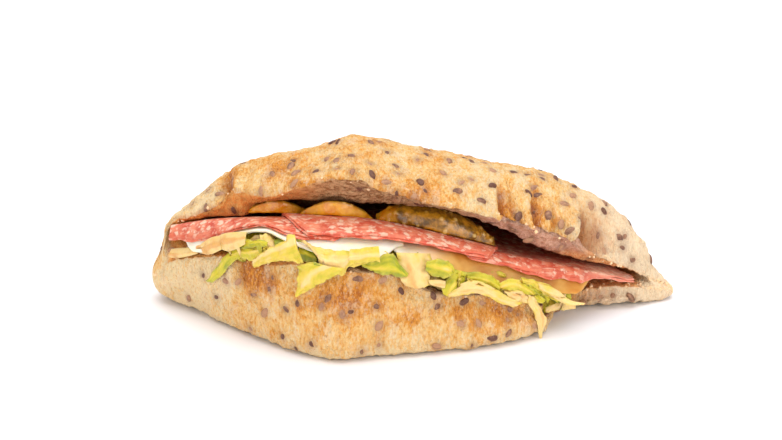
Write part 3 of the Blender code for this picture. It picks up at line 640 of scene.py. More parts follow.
# %% [markdown]
# The crust's large patches of brown and flour are worked out on its points. Browned skin lies on what
# stands proud, and around the middle of the lower half.

# %% Colour of the crust
z_mm = rings[:, :, 2] / MM


def patch(x, z, wide, high):
    """A soft spot on the front of the roll, from its place and size in mm."""
    spot = np.exp(-(((x_mm - x) / wide) ** 2) - ((z_mm - z) / high) ** 2)
    return spot * smooth(0.35, -0.25, normals[:, :, 1])


# Where the crust is browner (or paler, below 0): x and z in mm, half widths, how much
BROWN_SPOTS = (
    (-20, 24, 15, 8, 0.55), (-52, 26, 8, 5, 0.45), (22, 13, 20, 5, 0.35), (-36, 58, 16, 2.5, 0.5),
    (-65, 50, 3, 5, 0.7), (-78, 40, 10, 8, -0.3), (0, 55, 16, 4, 0.35), (32, 48, 4, 8, 0.45),
    (43, 44, 3, 7, 0.35), (8, 52, 26, 2.5, 0.3), (66, 26, 6, 6, 0.35), (60, 7, 12, 4, 0.3),
    (-80, 14, 14, 12, -0.45), (84, 12, 14, 12, -0.6), (74, 32, 14, 12, -0.4), (-76, 42, 9, 7, -0.35),
    (-6, 6, 30, 5, -0.1), (30, 53, 18, 6, -0.45),
)
toast = 0.36 + 0.28 * bumps(rings, 13 * MM, 50.0, 2)
toast += 0.15 * bumps(rings * [1.3, 0.9, 0.8], 3.6 * MM, 51.0, 3)
toast += 0.16 * blister + 0.10 * lines * pulled
for x, z, wide, high, more in BROWN_SPOTS:
    toast += more * patch(x, z, wide, high)
toast -= 0.25 * smooth(6, 1, z_mm)
# Right of the fold near x = -60 in the lower half the skin is browner, with a sharp edge
beside = x_mm + 60 + 0.08 * past_low / MM
toast += near_low * (0.5 * smooth(-0.3, 0.7, beside) * smooth(22, 4, beside) - 0.2 * smooth(0, -2, beside))
# Painted shade: browner in the fold grooves and where the skin steps back behind a fold
toast += 0.16 * np.clip(fold_depth, -0.4, 2)
toast += 0.12 * smooth(0.0, 0.6, normals[:, :, 1])
toast = np.clip(toast, 0, 1)
roll = loft(
    "roll_bread",
    rings,
    (LEFT_TIP, TIP_Y, float(FOOT_Z(LEFT_TIP))),
    (RIGHT_TIP, TIP_Y, float(FOOT_Z(RIGHT_TIP))),
    {
        "crust": 1 - crumb_share * np.ones_like(height),
        "toast": toast,
        "stain": stain,
        # painted shade in the crumb's holes
        "hole": holes * crumb_share,
        "pulled": pulled,
        "crease": crease,
        # Paler towards the right end: partly flour, partly painted light for the brighter light there
        "pale": smooth(50, 74, x_mm),
        # Orange crumb at the left of the lid's inside and at the right of the lower half: its own colour,
        # painted brighter as painted light where it lies in shade
        "orange": smooth(-25, -50, x_mm) + 0.7 * smooth(45, 55, x_mm) * smooth(30, 24, z_mm),
        "pink": smooth(12, 32, x_mm),
    },
)
crust = Surface("baked_crust", Roughness=0.8, Specular_IOR_Level=0.25)
upright = (1.5, 0.85, 0.7)
freckle = crust.noise(1.3 * MM, 4, stretch=upright, seed=3.0, roughness=0.62)
blotch = crust.noise(4.5 * MM, 3, stretch=upright, seed=13.0, roughness=0.55)
brown = crust.attribute("toast") + 1.8 * (freckle - 0.5) + 0.45 * (blotch - 0.5)
dusting = crust.noise(5 * MM, 4, stretch=upright, seed=5.0, roughness=0.65)
sieve = crust.noise(0.8 * MM, 2, seed=6.0)
flour = crust.step(dusting + 0.35 * (sieve - 0.5), 0.50, 0.66)
bran = crust.step(crust.cells(2.1 * MM, stretch=upright, seed=7.0) + 0.25 * (sieve - 0.5), 0.20, 0.08)
cracks = crust.cells(2.8 * MM, "DISTANCE_TO_EDGE", stretch=upright, seed=33.0, warp=(2.6 * MM, 1.8 * MM))
cracks = crust.step(cracks, 0.09, 0.01) * crust.step(crust.noise(6 * MM, 3, seed=34.0), 0.42, 0.58)
grit = crust.noise(0.7 * MM, 3, stretch=upright, seed=35.0, roughness=0.7)
skin = crust.layers(
    crust.blend(crust.step(brown, -0.05, 0.38), paint(255, 227, 174), paint(252, 202, 126)),
    (crust.step(brown, 0.36, 0.74), 238, 160, 64),
    (crust.step(brown, 0.72, 1.2), 192, 108, 38),
    (flour * 0.5, 254, 225, 184),
    (bran * 0.3, 170, 108, 66),
    # paler right end: partly flour, partly painted light
    (crust.attribute("pale") * 0.5, 255, 232, 204),
    (cracks * 0.14, 186, 112, 50),
    (crust.step(grit, 0.56, 0.70) * 0.4, 212, 134, 52),
    (crust.step(grit, 0.44, 0.32) * 0.5, 255, 234, 198),
    # painted shade in the fold grooves
    (crust.attribute("crease") * 0.75, 158, 84, 36),
    # painted shade round the seeds
    (crust.attribute("stain") * 0.55, 156, 104, 84),
)
grain = crust.step(crust.noise(1.1 * MM, 4, seed=2.0, roughness=0.7), 0.30, 0.70)
fibres = crust.step(crust.noise(1.6 * MM, 3, stretch=(0.6, 1, 1.2), seed=27.0, roughness=0.7), 0.34, 0.62)
crumb = crust.blend(fibres, paint(150, 98, 54), paint(226, 182, 134))
pink = crust.blend(grain, paint(206, 146, 112), paint(240, 192, 164))
crumb = crust.blend(crust.attribute("pink"), crumb, pink)
# the orange crumb's own colour, painted brighter as painted light
orange = crust.blend(grain, paint(250, 150, 66), paint(255, 192, 108))
crumb = crust.blend(crust.attribute("orange"), crumb, orange)
crumb = crust.layers(
    crumb,
    # painted shade in the crumb's holes
    (crust.attribute("hole") * 0.5, 156, 96, 54),
    # painted shade round the seeds in the crumb
    (crust.attribute("stain") * 0.55, 112, 80, 76),
)
crust.set(Base_Color=crust.blend(crust.step(crust.attribute("crust"), 0.25, 0.75), crumb, skin))
pores = crust.step(crust.cells(1.3 * MM, seed=1.0), 0.34, 0.10)
streaks = crust.noise(1.5 * MM, 3, stretch=(2.2, 0.45, 0.35), seed=19.0)
relief = crust.noise(0.9 * MM, 4, stretch=upright, seed=9.0, roughness=0.65) - 0.3 * pores - 0.12 * cracks
relief = relief + 0.9 * crust.attribute("pulled") * streaks + 0.5 * freckle
crust.bump(relief, 1.35 * MM, 1.0)
dress(roll, crust, "baked_crust", "bread_roll")

# %% [markdown]
# A seed is a flat drop shape. Geometry Nodes puts one on each drawn spot, turned to the skin, and joins
# them into one plain mesh.

# %% Scattering with Geometry Nodes
def drop_mesh(name, length, width, thickness):
    """A flat drop, pointed at one end."""
    bm = bmesh.new()
    bmesh.ops.create_uvsphere(bm, u_segments=10, v_segments=7, radius=1)
    for v in bm.verts:
        along = v.co.z
        narrow = 1 - 0.32 * max(0.0, along) ** 2
        v.co = Vector((along * length / 2, v.co.x * narrow * width / 2, v.co.y * narrow * thickness / 2))
    bmesh.ops.recalc_face_normals(bm, faces=bm.faces)
    mesh = bpy.data.meshes.new(name)
    bm.to_mesh(mesh)
    bm.free()
    mesh.shade_smooth()
    return add_object(name, mesh)


def scatter(name, spots, template, surface, sink):
    """One mesh of copies of the template on spots of (place, normal, turn, size, tone)."""
    cloud = bpy.data.meshes.new(name + "_points")
    places = [p - n * sink - Vector(CENTRE) for p, n, *_ in spots]
    cloud.from_pydata([tuple(p) for p in places], [], [])
    for key, kind, values in (
        ("facing", "FLOAT_VECTOR", [c for s in spots for c in s[1]]),
        ("turn", "FLOAT", [s[2] for s in spots]),
        ("size", "FLOAT", [s[3] for s in spots]),
        ("tone", "FLOAT", [s[4] for s in spots]),
    ):
        layer = cloud.attributes.new(key, kind, "POINT")
        layer.data.foreach_set("vector" if kind == "FLOAT_VECTOR" else "value", values)
    host = add_object(name, cloud)
    group = bpy.data.node_groups.new("Scatter on points", "GeometryNodeTree")
    for label, kind in (("Points", "Geometry"), ("Template", "Object"), ("Finish", "Material")):
        group.interface.new_socket(label, in_out="INPUT", socket_type="NodeSocket" + kind)
    group.interface.new_socket("Geometry", in_out="OUTPUT", socket_type="NodeSocketGeometry")
    nodes, links = group.nodes, group.links

    def add(kind, **settings):
        made = nodes.new(kind)
        for key, value in settings.items():
            setattr(made, key, value)
        return made

    def named(key, kind):
        made = add("GeometryNodeInputNamedAttribute", data_type=kind)
        made.inputs["Name"].default_value = key
        return made.outputs["Attribute"]

    entry, exit_node = add("NodeGroupInput"), add("NodeGroupOutput")
    shape = add("GeometryNodeObjectInfo")
    links.new(entry.outputs["Template"], shape.inputs["Object"])
    upright = add("FunctionNodeAlignRotationToVector", axis="Z")
    links.new(named("facing", "FLOAT_VECTOR"), upright.inputs["Vector"])
    spin = add("FunctionNodeAxisAngleToRotation")
    spin.inputs["Axis"].default_value = (0, 0, 1)
    links.new(named("turn", "FLOAT"), spin.inputs["Angle"])
    turned = add("FunctionNodeRotateRotation", rotation_space="LOCAL")
    links.new(upright.outputs[0], turned.inputs[0])
    links.new(spin.outputs[0], turned.inputs[1])
    placed = add("GeometryNodeInstanceOnPoints")
    links.new(entry.outputs["Points"], placed.inputs["Points"])
    links.new(shape.outputs["Geometry"], placed.inputs["Instance"])
    links.new(turned.outputs[0], placed.inputs["Rotation"])
    links.new(named("size", "FLOAT"), placed.inputs["Scale"])
    solid, paint_node = add("GeometryNodeRealizeInstances"), add("GeometryNodeSetMaterial")
    links.new(placed.outputs[0], solid.inputs[0])
    links.new(solid.outputs[0], paint_node.inputs[0])
    links.new(entry.outputs["Finish"], paint_node.inputs["Material"])
    links.new(paint_node.outputs[0], exit_node.inputs[0])
    modifier = host.modifiers.new("scatter", "NODES")
    modifier.node_group = group
    for item in group.interface.items_tree:
        if item.in_out == "INPUT" and item.name in ("Template", "Finish"):
            modifier[item.identifier] = template if item.name == "Template" else surface.material
    bpy.context.view_layer.update()
    plain = bpy.data.meshes.new_from_object(host.evaluated_get(bpy.context.evaluated_depsgraph_get()))
    bpy.data.objects.remove(host)
    bpy.data.objects.remove(template)
    plain.shade_smooth()
    print(name, len(spots), "copies")
    return add_object(name, plain)


# %% Linseeds
linseed = Surface("linseed_husk", Roughness=0.5, Specular_IOR_Level=0.4)
husk = linseed.step(linseed.noise(3 * MM, 2, seed=4.0) + 0.7 * (linseed.attribute("tone") - 0.5), 0.25, 0.75)
shade = linseed.blend(husk, paint(98, 60, 44), paint(158, 112, 84))
dust = linseed.noise(1.0 * MM, 3, seed=6.0, roughness=0.7) + 0.3 * linseed.attribute("tone")
dust = linseed.step(dust, 0.50, 0.85)
linseed.set(Base_Color=linseed.blend(dust * 0.3, shade, paint(222, 176, 128)))
linseed.bump(linseed.noise(0.4 * MM, 2), 0.1 * MM, 0.6)
SEED_LENGTH, SEED_WIDTH, SEED_THICKNESS, SEED_SINK = 4.3 * MM, 2.6 * MM, 1.5 * MM, 0.22 * MM
seed_shape = drop_mesh("linseed", SEED_LENGTH, SEED_WIDTH, SEED_THICKNESS)
seeds = scatter("roll_linseeds", seed_spots, seed_shape, linseed, SEED_SINK)
dress(seeds, linseed, "baked_crust", "bread_roll")

# %% [markdown]
# The cut and torn lips shed crumbs. Small lumps lie along them, put there in the same way.

# %% Crumbs
def crumb_mesh(name, size):
    """A lumpy crumb."""
    bm = bmesh.new()
    bmesh.ops.create_icosphere(bm, subdivisions=2, radius=size / 2)
    for v in bm.verts:
        v.co *= 1 + 0.35 * noise.noise(v.co / (0.35 * size) + Vector((7, 1, 3)))
    mesh = bpy.data.meshes.new(name)
    bm.to_mesh(mesh)
    bm.free()
    return add_object(name, mesh)


CRUMBS = 150
crumb_spots = []
rng = random.Random(41)
while len(crumb_spots) < CRUMBS:
    i = rng.randrange(20, STATIONS - 14)
    centre = 0 if rng.random() < 0.55 else low_lip
    j = (centre + rng.randrange(-7, 8)) % samples
    # Most lie towards the right, where the bread is torn
    if rng.random() < 0.25 + 0.75 * smooth(20, 55, rings[i, j, 0] / MM):
        size = rng.uniform(0.35, 1.0) ** 1.5 * 1.1
        crumb_spots.append((Vector(rings[i, j]), Vector(normals[i, j]), rng.uniform(0, 6.28), size, 0.0))
crumb_surface = Surface("bread_crumb", Roughness=0.85, Specular_IOR_Level=0.2)
mixed = crumb_surface.noise(2 * MM, 3, seed=2.0, roughness=0.7)
crumb_surface.set(Base_Color=crumb_surface.blend(mixed, paint(236, 190, 132), paint(250, 222, 186)))
crumb_surface.bump(crumb_surface.noise(0.5 * MM, 2), 0.2 * MM, 0.7)
crumbs = scatter("roll_crumbs", crumb_spots, crumb_mesh("crumb", 1.3 * MM), crumb_surface, 0.1 * MM)
dress(crumbs, crumb_surface, "baked_crust", "bread_roll")

# %% [markdown]
# ## Sliced layers
# Salami and cheese follow the filling's slope and droop at the front. Each slice is a loft of flat rings
# with a round nose, at the place of its CAD solid.

# %% Slices
# The air between neighbouring layers
GAP = 0.4 * MM
SALAMI_RADIUS, SALAMI_THICKNESS, CHEESE_THICKNESS = 38 * MM, 1.1 * MM, 1.2 * MM


def salami_top(x, y, on_top):
    return band_height(x, y) + (SALAMI_THICKNESS + GAP) * on_top


def cheese_top(x, y):
    return band_height(x, y) - SALAMI_THICKNESS - 1.6 * GAP


def slice_loft(name, xs, front, back, top, thickness, rows, wave, attributes=None):
    """A thin slice as a loft along X. Its rings run from the back over the top to a round nose, then back."""
    share = np.linspace(0, 1, rows) ** 1.3
    length = np.maximum(back - front, 0.4 * MM)
    y = front[:, None] + share[None, ::-1] * length[:, None]
    x = np.repeat(xs[:, None], rows, axis=1)
    z = top(x, y)
    thickness = thickness * np.ones(len(xs))
    half = np.minimum(thickness, 0.8 * length)[:, None] / 2
    middle = z - thickness[:, None] / 2 + wave(np.stack([x, y, z], axis=2))
    rim = np.minimum(y - front[:, None], back[:, None] - y) / (0.6 * thickness[:, None])
    round_off = np.sqrt(np.clip(1 - (1 - np.clip(rim, 0, 1)) ** 2, 0.04, 1))
    upper = np.stack([x, y, middle + half * round_off], axis=2)
    lower = np.stack([x, y, middle - half * round_off], axis=2)[:, ::-1]
    ring = np.concatenate([upper, lower], axis=1)
    start, end = ring[0].mean(axis=0), ring[-1].mean(axis=0)
    tip = [0.2 * MM, 0, 0]
    return loft(name, ring, start - tip, end + tip, attributes)


def dense_between(left, right, count):
    """Places from left to right that come closer together towards both ends."""
    return left + (right - left) * (1 - np.cos(np.pi * (np.arange(count) + 0.5) / count)) / 2


# Each slice: its CAD node, its middle (x, y) in mm, whether it lies on the others, and its seed
SALAMI_SLICES = (
    ("salami_left", (-49, -20), False, 3.0),
    ("salami_middle", (-8, -25), True, 7.0),
    ("salami_right", (42.5, -14), False, 11.0),
)
# How far the salami stands back, in mm, where more of the cheese shows
SALAMI_BACK = curve(
    (-60, 0), (-38, 0.2), (-28, 1.2), (-8, 1.5), (4, 0.8), (18, 0), (46, 0), (58, 1.0), (76, 0.8),
)
salami = Surface("cured_salami", Specular_IOR_Level=0.45, Subsurface_Weight=0.2)
salami.set(Subsurface_Radius=(0.004, 0.0015, 0.001), Subsurface_Scale=0.5)
lean_share = salami.step(salami.noise(4 * MM, 3, seed=1.0), 0.3, 0.7)
lean_meat = salami.blend(lean_share, paint(204, 80, 56), paint(236, 140, 106))
patches = salami.cells(2.8 * MM, stretch=(0.7, 1, 1), seed=2.0, warp=(2.0 * MM, 1.4 * MM))
fat = salami.step(patches + 0.5 * (salami.noise(1.0 * MM, 3, seed=3.0, roughness=0.65) - 0.5), 0.42, 0.24)
specks = salami.cells(1.5 * MM, stretch=(0.7, 1, 1), seed=6.0, warp=(1.2 * MM, 0.8 * MM))
specks = salami.step(specks, 0.40, 0.22) * salami.step(salami.noise(5 * MM, 2, seed=7.0), 0.35, 0.55)
# Long pale and dark streaks run beside the cut edge
span = salami.node("SeparateXYZ", output="X", Vector=salami.place())
drawn_out, sheet = span * 0.16, salami.attribute("sheet") * 0.01
beside = salami.node("CombineXYZ", X=drawn_out, Y=salami.attribute("across"), Z=sheet)
streaks = salami.node("TexNoise", Vector=beside, Scale=1 / (1.0 * MM), Detail=3.0, Roughness=0.6)
pale_end = 0.5 * salami.step(span, 56 * MM, 70 * MM)
pale_bits = (0.85 * fat + 0.7 * specks + 0.75 * salami.step(streaks, 0.54, 0.72) + pale_end).clip()
lean_meat = salami.blend(salami.step(streaks, 0.46, 0.30) * 0.6, lean_meat, paint(196, 70, 56))
marbled = salami.blend(pale_bits * 0.9, lean_meat, paint(250, 208, 180))
rim = salami.attribute("rim")
salami.set(Base_Color=salami.blend(rim * 0.5, marbled, paint(224, 92, 58)))
salami.set(Roughness=salami.step(salami.noise(3 * MM, 2, seed=30.0), 0.2, 0.8) * 0.22 + 0.26)
salami.bump(salami.noise(1.4 * MM, 3, seed=12.0) + 0.6 * pale_bits, 0.3 * MM, 0.7)
SHEET_THICKNESS, SHEET_STEP = 0.5 * MM, 0.62 * MM
for name, centre, on_top, seed in SALAMI_SLICES:
    middle_x, middle_y = centre[0] * MM, centre[1] * MM
    xs = dense_between(middle_x - SALAMI_RADIUS, middle_x + SALAMI_RADIUS, 150)
    half_chord = np.sqrt(SALAMI_RADIUS**2 - (xs - middle_x) ** 2)
    layers = []
    # Two thin slices lie on each other, with edges that wander apart
    for layer in (0, 1):
        wander = np.array([noise.fractal(Vector((x / (9 * MM), seed, 5 * layer)), 1, 2, 4) for x in xs])
        ends = smooth(0, 8 * MM, SALAMI_RADIUS - abs(xs - middle_x))
        front = np.maximum(middle_y - half_chord, BAND_FRONT_Y(xs) + SALAMI_BACK(xs))
        front = front + 0.9 * MM * wander * ends + 0.3 * MM * layer
        back = np.maximum(np.minimum(middle_y + half_chord, SLICE_BACK_Y(xs)), front + 0.5 * MM)
        rows = 46
        share = np.linspace(0, 1, rows) ** 1.3
        depth = share[None, ::-1] * (back - front)[:, None]
        edge = np.minimum(depth, (back - front)[:, None] - depth)
        edge = np.minimum(edge, (SALAMI_RADIUS - abs(xs - middle_x))[:, None])
        rim = smooth(0.9 * MM, 0.1 * MM, edge)
        rim, across = both_sides(rim), both_sides(depth)

        def wave(p, front=front, shift=seed + 4 * layer):
            near = smooth(16 * MM, 0, p[:, :, 1] - front[:, None])
            return 0.22 * MM * near * bumps(p, 6 * MM, shift, 2)

        def top(x, y, lift=on_top, down=SHEET_STEP * (1 - layer)):
            return salami_top(x, y, lift) - down

        marks = {"rim": rim, "across": across, "sheet": np.full_like(across, seed + layer)}
        sheet = slice_loft(f"{name}_{layer}", xs, front, back, top, SHEET_THICKNESS, rows, wave, marks)
        layers.append(sheet)
    piece = join(name + "_slices", layers)
    piece.data.shade_smooth()
    dress(piece, salami, "cured_salami", name)

# Each slice: its CAD node and its left and right end in mm
CHEESE_SLICES = (("cheese_left", -84, -3.5), ("cheese_right", -9, 66))
cheese = Surface("sliced_cheese", Roughness=0.42, Specular_IOR_Level=0.4, Subsurface_Weight=0.35)
cheese.set(Subsurface_Radius=(0.006, 0.004, 0.002), Subsurface_Scale=0.6)
cloudy = cheese.step(cheese.noise(7 * MM, 3, stretch=(0.6, 1, 1), seed=1.0), 0.3, 0.7)
white = cheese.blend(cloudy, paint(255, 238, 200), paint(255, 247, 224))
amber = cheese.blend(cloudy, paint(206, 124, 38), paint(240, 177, 88))
cheese.set(Base_Color=cheese.blend(cheese.attribute("amber"), white, amber))
cheese.bump(cheese.noise(2.5 * MM, 3, seed=3.0), 0.2 * MM, 0.5)
# How far the cheese reaches past the salami, and how far its edge hangs, along the roll
CHEESE_REACH = curve(
    (-84, 2.5), (-74, 4.0), (-66, 1.5), (-50, 0.6), (-40, 2.6), (-28, 4.0), (-12, 3.8), (-4, 2.6),
    (66, 1.2),
)
CHEESE_HANG = curve(
    (-84, 0.6), (-60, 0), (-44, 0), (-26, 0.9), (-12, 0.9), (-3, 0.6), (8, 0.8), (17, 4.0), (30, 5.6),
    (44, 4.0), (56, 1.4), (66, 0.4),
)
cheeses = []
for name, left, right in CHEESE_SLICES:
    xs = dense_between(left * MM, right * MM, 130)
    ends = smooth(0, 9 * MM, np.minimum(xs - left * MM, right * MM - xs))
    front = BAND_FRONT_Y(xs) - CHEESE_REACH(xs) * ends + 3 * MM * (1 - ends)
    back = np.minimum(SLICE_BACK_Y(xs) - 1 * MM, 20 * MM)
    hang = (CHEESE_HANG(xs) * ends)[:, None]
    # The right slice starts under the left one
    tuck = 1.3 * MM * smooth(4, -3, xs / MM)[:, None] * (left > -20)

    def wave(p):
        near = smooth(6 * MM, 0, p[:, :, 1] - front[:, None])
        return 0.3 * MM * near * bumps(p, 7 * MM, left, 2) - hang * near**1.5 - tuck

    thin = CHEESE_THICKNESS * (1 - 0.45 * smooth(5, 15, xs / MM))
    rows = 40
    warmth = np.repeat(smooth(-8, 16, xs / MM)[:, None], 2 * rows, axis=1)
    piece = slice_loft(name + "_slice", xs, front, back, cheese_top, thin, rows, wave, {"amber": warmth})
    dress(piece, cheese, "sliced_cheese", name)
    cheeses.append(piece)

# %% [markdown]
# ## Gherkins
# The long piece shows its warty green skin, and the two slices show golden flesh with a darker rim.

# %% Gherkin pieces
# Each piece: its CAD node, its left and right end, its front, depth and rise in mm
GHERKIN_PIECES = (
    ("gherkin_left", -59, -35.5, -27, 12.5, 4.6),
    ("gherkin_middle", -39.5, -14, -36.5, 14, 5.4),
    ("gherkin_right", -13, 29, -36.5, 17, 9.0),
)
gherkin = Surface("pickled_gherkin", Roughness=0.22, Specular_IOR_Level=0.5, Subsurface_Weight=0.2)
gherkin.set(Subsurface_Radius=(0.004, 0.003, 0.001), Subsurface_Scale=0.5)
gherkin.set(Coat_Weight=0.5, Coat_Roughness=0.1)
mottle = gherkin.step(gherkin.noise(3 * MM, 4, seed=2.0, roughness=0.65), 0.34, 0.66)
peel = gherkin.blend(mottle, paint(104, 72, 4), paint(192, 134, 22))
peel = gherkin.blend(gherkin.step(gherkin.attribute("wart"), 0.3, 0.9), peel, paint(204, 166, 84))
glow = gherkin.step(gherkin.noise(4 * MM, 3, seed=5.0), 0.3, 0.7)
flesh = gherkin.blend(glow, paint(222, 136, 4), paint(250, 184, 44))
gherkin.set(Base_Color=gherkin.blend(gherkin.attribute("peel"), flesh, peel))
gherkin.bump(gherkin.noise(0.9 * MM, 3, seed=7.0, roughness=0.6), 0.35 * MM, 0.9)
for name, left, right, front, depth, rise in GHERKIN_PIECES:
    count, over, under = 90, 44, 16
    t = dense_between(0.0, 1.0, count)
    x = (left + (right - left) * t) * MM
    taper = np.sin(np.pi * t) ** (0.5 if name == "gherkin_right" else 0.75)
    bend = 1.5 * MM * np.sin(np.pi * t)
    q_over = (1 - np.cos(np.pi * np.linspace(0, 1, over))) / 2
    q = np.concatenate([q_over, np.linspace(1, 0, under + 2)[1:-1]])
    dome = np.sqrt(np.clip(4 * q * (1 - q), 0, 1))
    if name != "gherkin_right":
        dome = np.minimum(1, 1.8 * dome)
    dome[over:] = 0
    y = (front + depth / 2) * MM - bend[:, None] + depth * MM * taper[:, None] * (q - 0.5)[None]
    xx = np.repeat(x[:, None], len(q), axis=1)
    z = salami_top(xx, y, True) + GAP + rise * MM * taper[:, None] * dome[None]
    ring = np.stack([xx, y, z], axis=2)
    facing = surface_normals(ring)
    out = np.sign(np.sum(facing[count // 2, over // 2] * [0, 0, 1])) * facing
    upper = (np.arange(len(q)) < over)[None] * np.ones((count, 1))
    warts = smooth(0.42, 0.12, cells(ring, 3.1 * MM))
    skin_like = 1.0 if name == "gherkin_right" else 0.25
    push = 0.55 * warts * skin_like + 0.3 * bumps(ring, 5 * MM, 3.0, 2)
    push = upper * push * MM * smooth(0, 0.25, taper)[:, None]
    ring = ring + out * push[:, :, None]
    if name == "gherkin_right":
        wander = 0.10 * bumps(np.stack([x, 0 * x, 0 * x], axis=1), 3 * MM, 9.0)
        peel_share = upper * smooth(0.03, 0.28, t + wander)[:, None]
    else:
        peel_share = 0.9 * upper * smooth(0.045, 0.075, q)[None] * np.ones((count, 1))
    tips = [(xe * MM, (front + depth / 2) * MM) for xe in (left, right)]
    tips = [(tx, ty, float(salami_top(tx, ty, True)) + GAP + 0.2 * rise * MM) for tx, ty in tips]
    piece = loft(name + "_piece", ring, *tips, {"peel": peel_share, "wart": warts * upper})
    dress(piece, gherkin, "pickled_gherkin", name)

# %% [markdown]
# ## Lettuce
# The leaves in front are drawn between two edges each, which stand in the gap under the cheese or hang over
# the lip. Shorter shreds behind them are placed by a seeded rule, and a low core lies under them all.

# %% Lettuce leaves
def solid_tree(*pieces):
    """A search tree of the pieces' surfaces, in the coordinates of the driving curves."""
    points, faces = [], []
    for piece in pieces:
        first = len(points)
        points += [v.co + Vector(CENTRE) for v in piece.data.vertices]
        faces += [[first + i for i in p.vertices] for p in piece.data.polygons]
    return BVHTree.FromPolygons(points, faces)


bread_tree, cheese_tree = solid_tree(roll), solid_tree(*cheeses)
LEAF_OFF_CHEESE, LEAF_OFF_BREAD, LEAF_HALF = 0.45 * MM, 0.5 * MM, 0.17 * MM


def keep_off(point, tree, gap):
    """The point, moved out of the surface where it lies closer than the gap."""
    near, normal, _, _ = tree.find_nearest(point)
    depth = (point - near).dot(normal)
    return near + normal * gap if depth < gap else point


def through(knots, count):
    """Points evenly along a smooth open curve through the knots."""
    p = np.asarray(knots, float)
    p = np.vstack([2 * p[0] - p[1], p, 2 * p[-1] - p[-2]])
    points = []
    for t in np.linspace(0, len(p) - 3, count):
        i = min(int(t), len(p) - 4)
        s = t - i
        a, b, c, d = p[i : i + 4]
        points.append(b + 0.5 * s * (c - a + s * (2 * a - 5 * b + 4 * c - d + s * (3 * (b - c) + d - a))))
    return np.array(points)


def sheet_normals(grid):
    normals = np.cross(np.gradient(grid, axis=0), np.gradient(grid, axis=1))
    return normals / np.maximum(np.linalg.norm(normals, axis=2, keepdims=True), 1e-9)


def leaf(name, knots, greens, seed, ruffle=1.0, stations=54, across=23):
    """A thin leaf between two edges, cupped across and ruffled towards both of them."""
    draw = random.Random(seed)
    edges = through(np.array(knots) * MM, stations)
    q = np.linspace(0, 1, across)
    grid = edges[:, None, :3] * (1 - q)[None, :, None] + edges[:, None, 3:] * q[None, :, None]
    width = np.linalg.norm(edges[:, 3:] - edges[:, :3], axis=1)
    run = np.concatenate([[0], np.cumsum(np.linalg.norm(np.diff(grid[:, across // 2], axis=0), axis=1))])
    facing = sheet_normals(grid)
    facing *= -np.sign(facing[:, :, 1].mean())
    side = np.abs(2 * q - 1)[None]
    waves = np.sin(run[:, None] / MM * draw.uniform(0.9, 1.4) + draw.uniform(0, 6) + 2.5 * q[None])
    small = np.sin(run[:, None] / MM * draw.uniform(2.2, 3.0) + draw.uniform(0, 6) + 5 * q[None])
    push = draw.uniform(0.04, 0.14) * width[:, None] * (1 - side**2)
    push = push + ruffle * MM * (0.55 * side**2 * waves + 0.22 * side**3 * small)
    push = push + ruffle * MM * (0.6 * bumps(grid, 5 * MM, seed, 2) + 0.2 * bumps(grid, 2 * MM, seed + 3, 1))
    rib = draw.uniform(0.25, 0.75)
    ridge = np.exp(-(((q - rib) / 0.13) ** 2))[None] * np.minimum(1, width / (6 * MM))[:, None]
    push = push + 0.35 * MM * ridge
    inward = (edges[:, 3:] - edges[:, :3])[:, None] * (0.5 - q)[None, :, None]
    torn = 0.2 * ruffle * side**3 * bumps(grid, 3 * MM, seed + 9, 2)
    grid = grid + facing * push[:, :, None] + inward * torn[:, :, None]
    flat = [keep_off(Vector(p), cheese_tree, LEAF_OFF_CHEESE) for p in grid.reshape(-1, 3)]
    flat = [keep_off(p, bread_tree, LEAF_OFF_BREAD) for p in flat]
    grid = np.array(flat).reshape(grid.shape)
    facing = sheet_normals(grid)
    thin = np.sqrt(np.clip(1 - side**6, 0.05, 1)) * np.ones((stations, 1)) * LEAF_HALF
    skin = facing * (thin * (1 + 1.2 * ridge))[:, :, None]
    rings = np.concatenate([grid + skin, (grid - skin)[:, ::-1]], axis=1)
    along = np.linspace(0, 1, stations)[:, None]
    drawn = [q[None] * width[:, None] * 2.2, 0.35 * run[:, None] + 0 * q[None], 0 * grid[:, :, 0]]
    fibre = bumps(np.stack(drawn, axis=2), 2 * MM, seed, 2)
    green = greens[0] + (greens[1] - greens[0]) * along
    green = green + 0.22 * bumps(grid, 5 * MM, seed + 5, 2) + 0.16 * fibre
    green = green - 0.45 * ridge + 0.10 * side**4
    # The rims are painted paler in the material: painted light for light shining through them
    marks = {"leaf": both_sides(green), "edge": both_sides(np.repeat(side**5, stations, axis=0))}
    return loft(name, rings, rings[0].mean(axis=0), rings[-1].mean(axis=0), marks)


# The photo's camera looks down on this place from that far off. Its scale and its middle are in pixels
LOOK_AT, CAMERA_REACH, LOOK_DOWN = (-7.7 * MM, 0, 29.6 * MM), 700 * MM, math.radians(20)
CAMERA_SIDE = np.array([0, -math.cos(LOOK_DOWN), math.sin(LOOK_DOWN)])
CAMERA_PLACE = np.array(LOOK_AT) + CAMERA_REACH * CAMERA_SIDE
PHOTO_SCALE, PHOTO_MIDDLE = 1916, (391, 220)
# The leaves were traced on crops of the photo: the pixel where each crop starts, and its enlargement
LEFT_CROP, RIGHT_CROP, WHOLE_PHOTO = (165, 222, 8), (355, 235, 8), (0, 0, 1)
# Right of this place the leaves hang straight down, and no longer follow the lip back
LEAF_TURN_X = 44 * MM
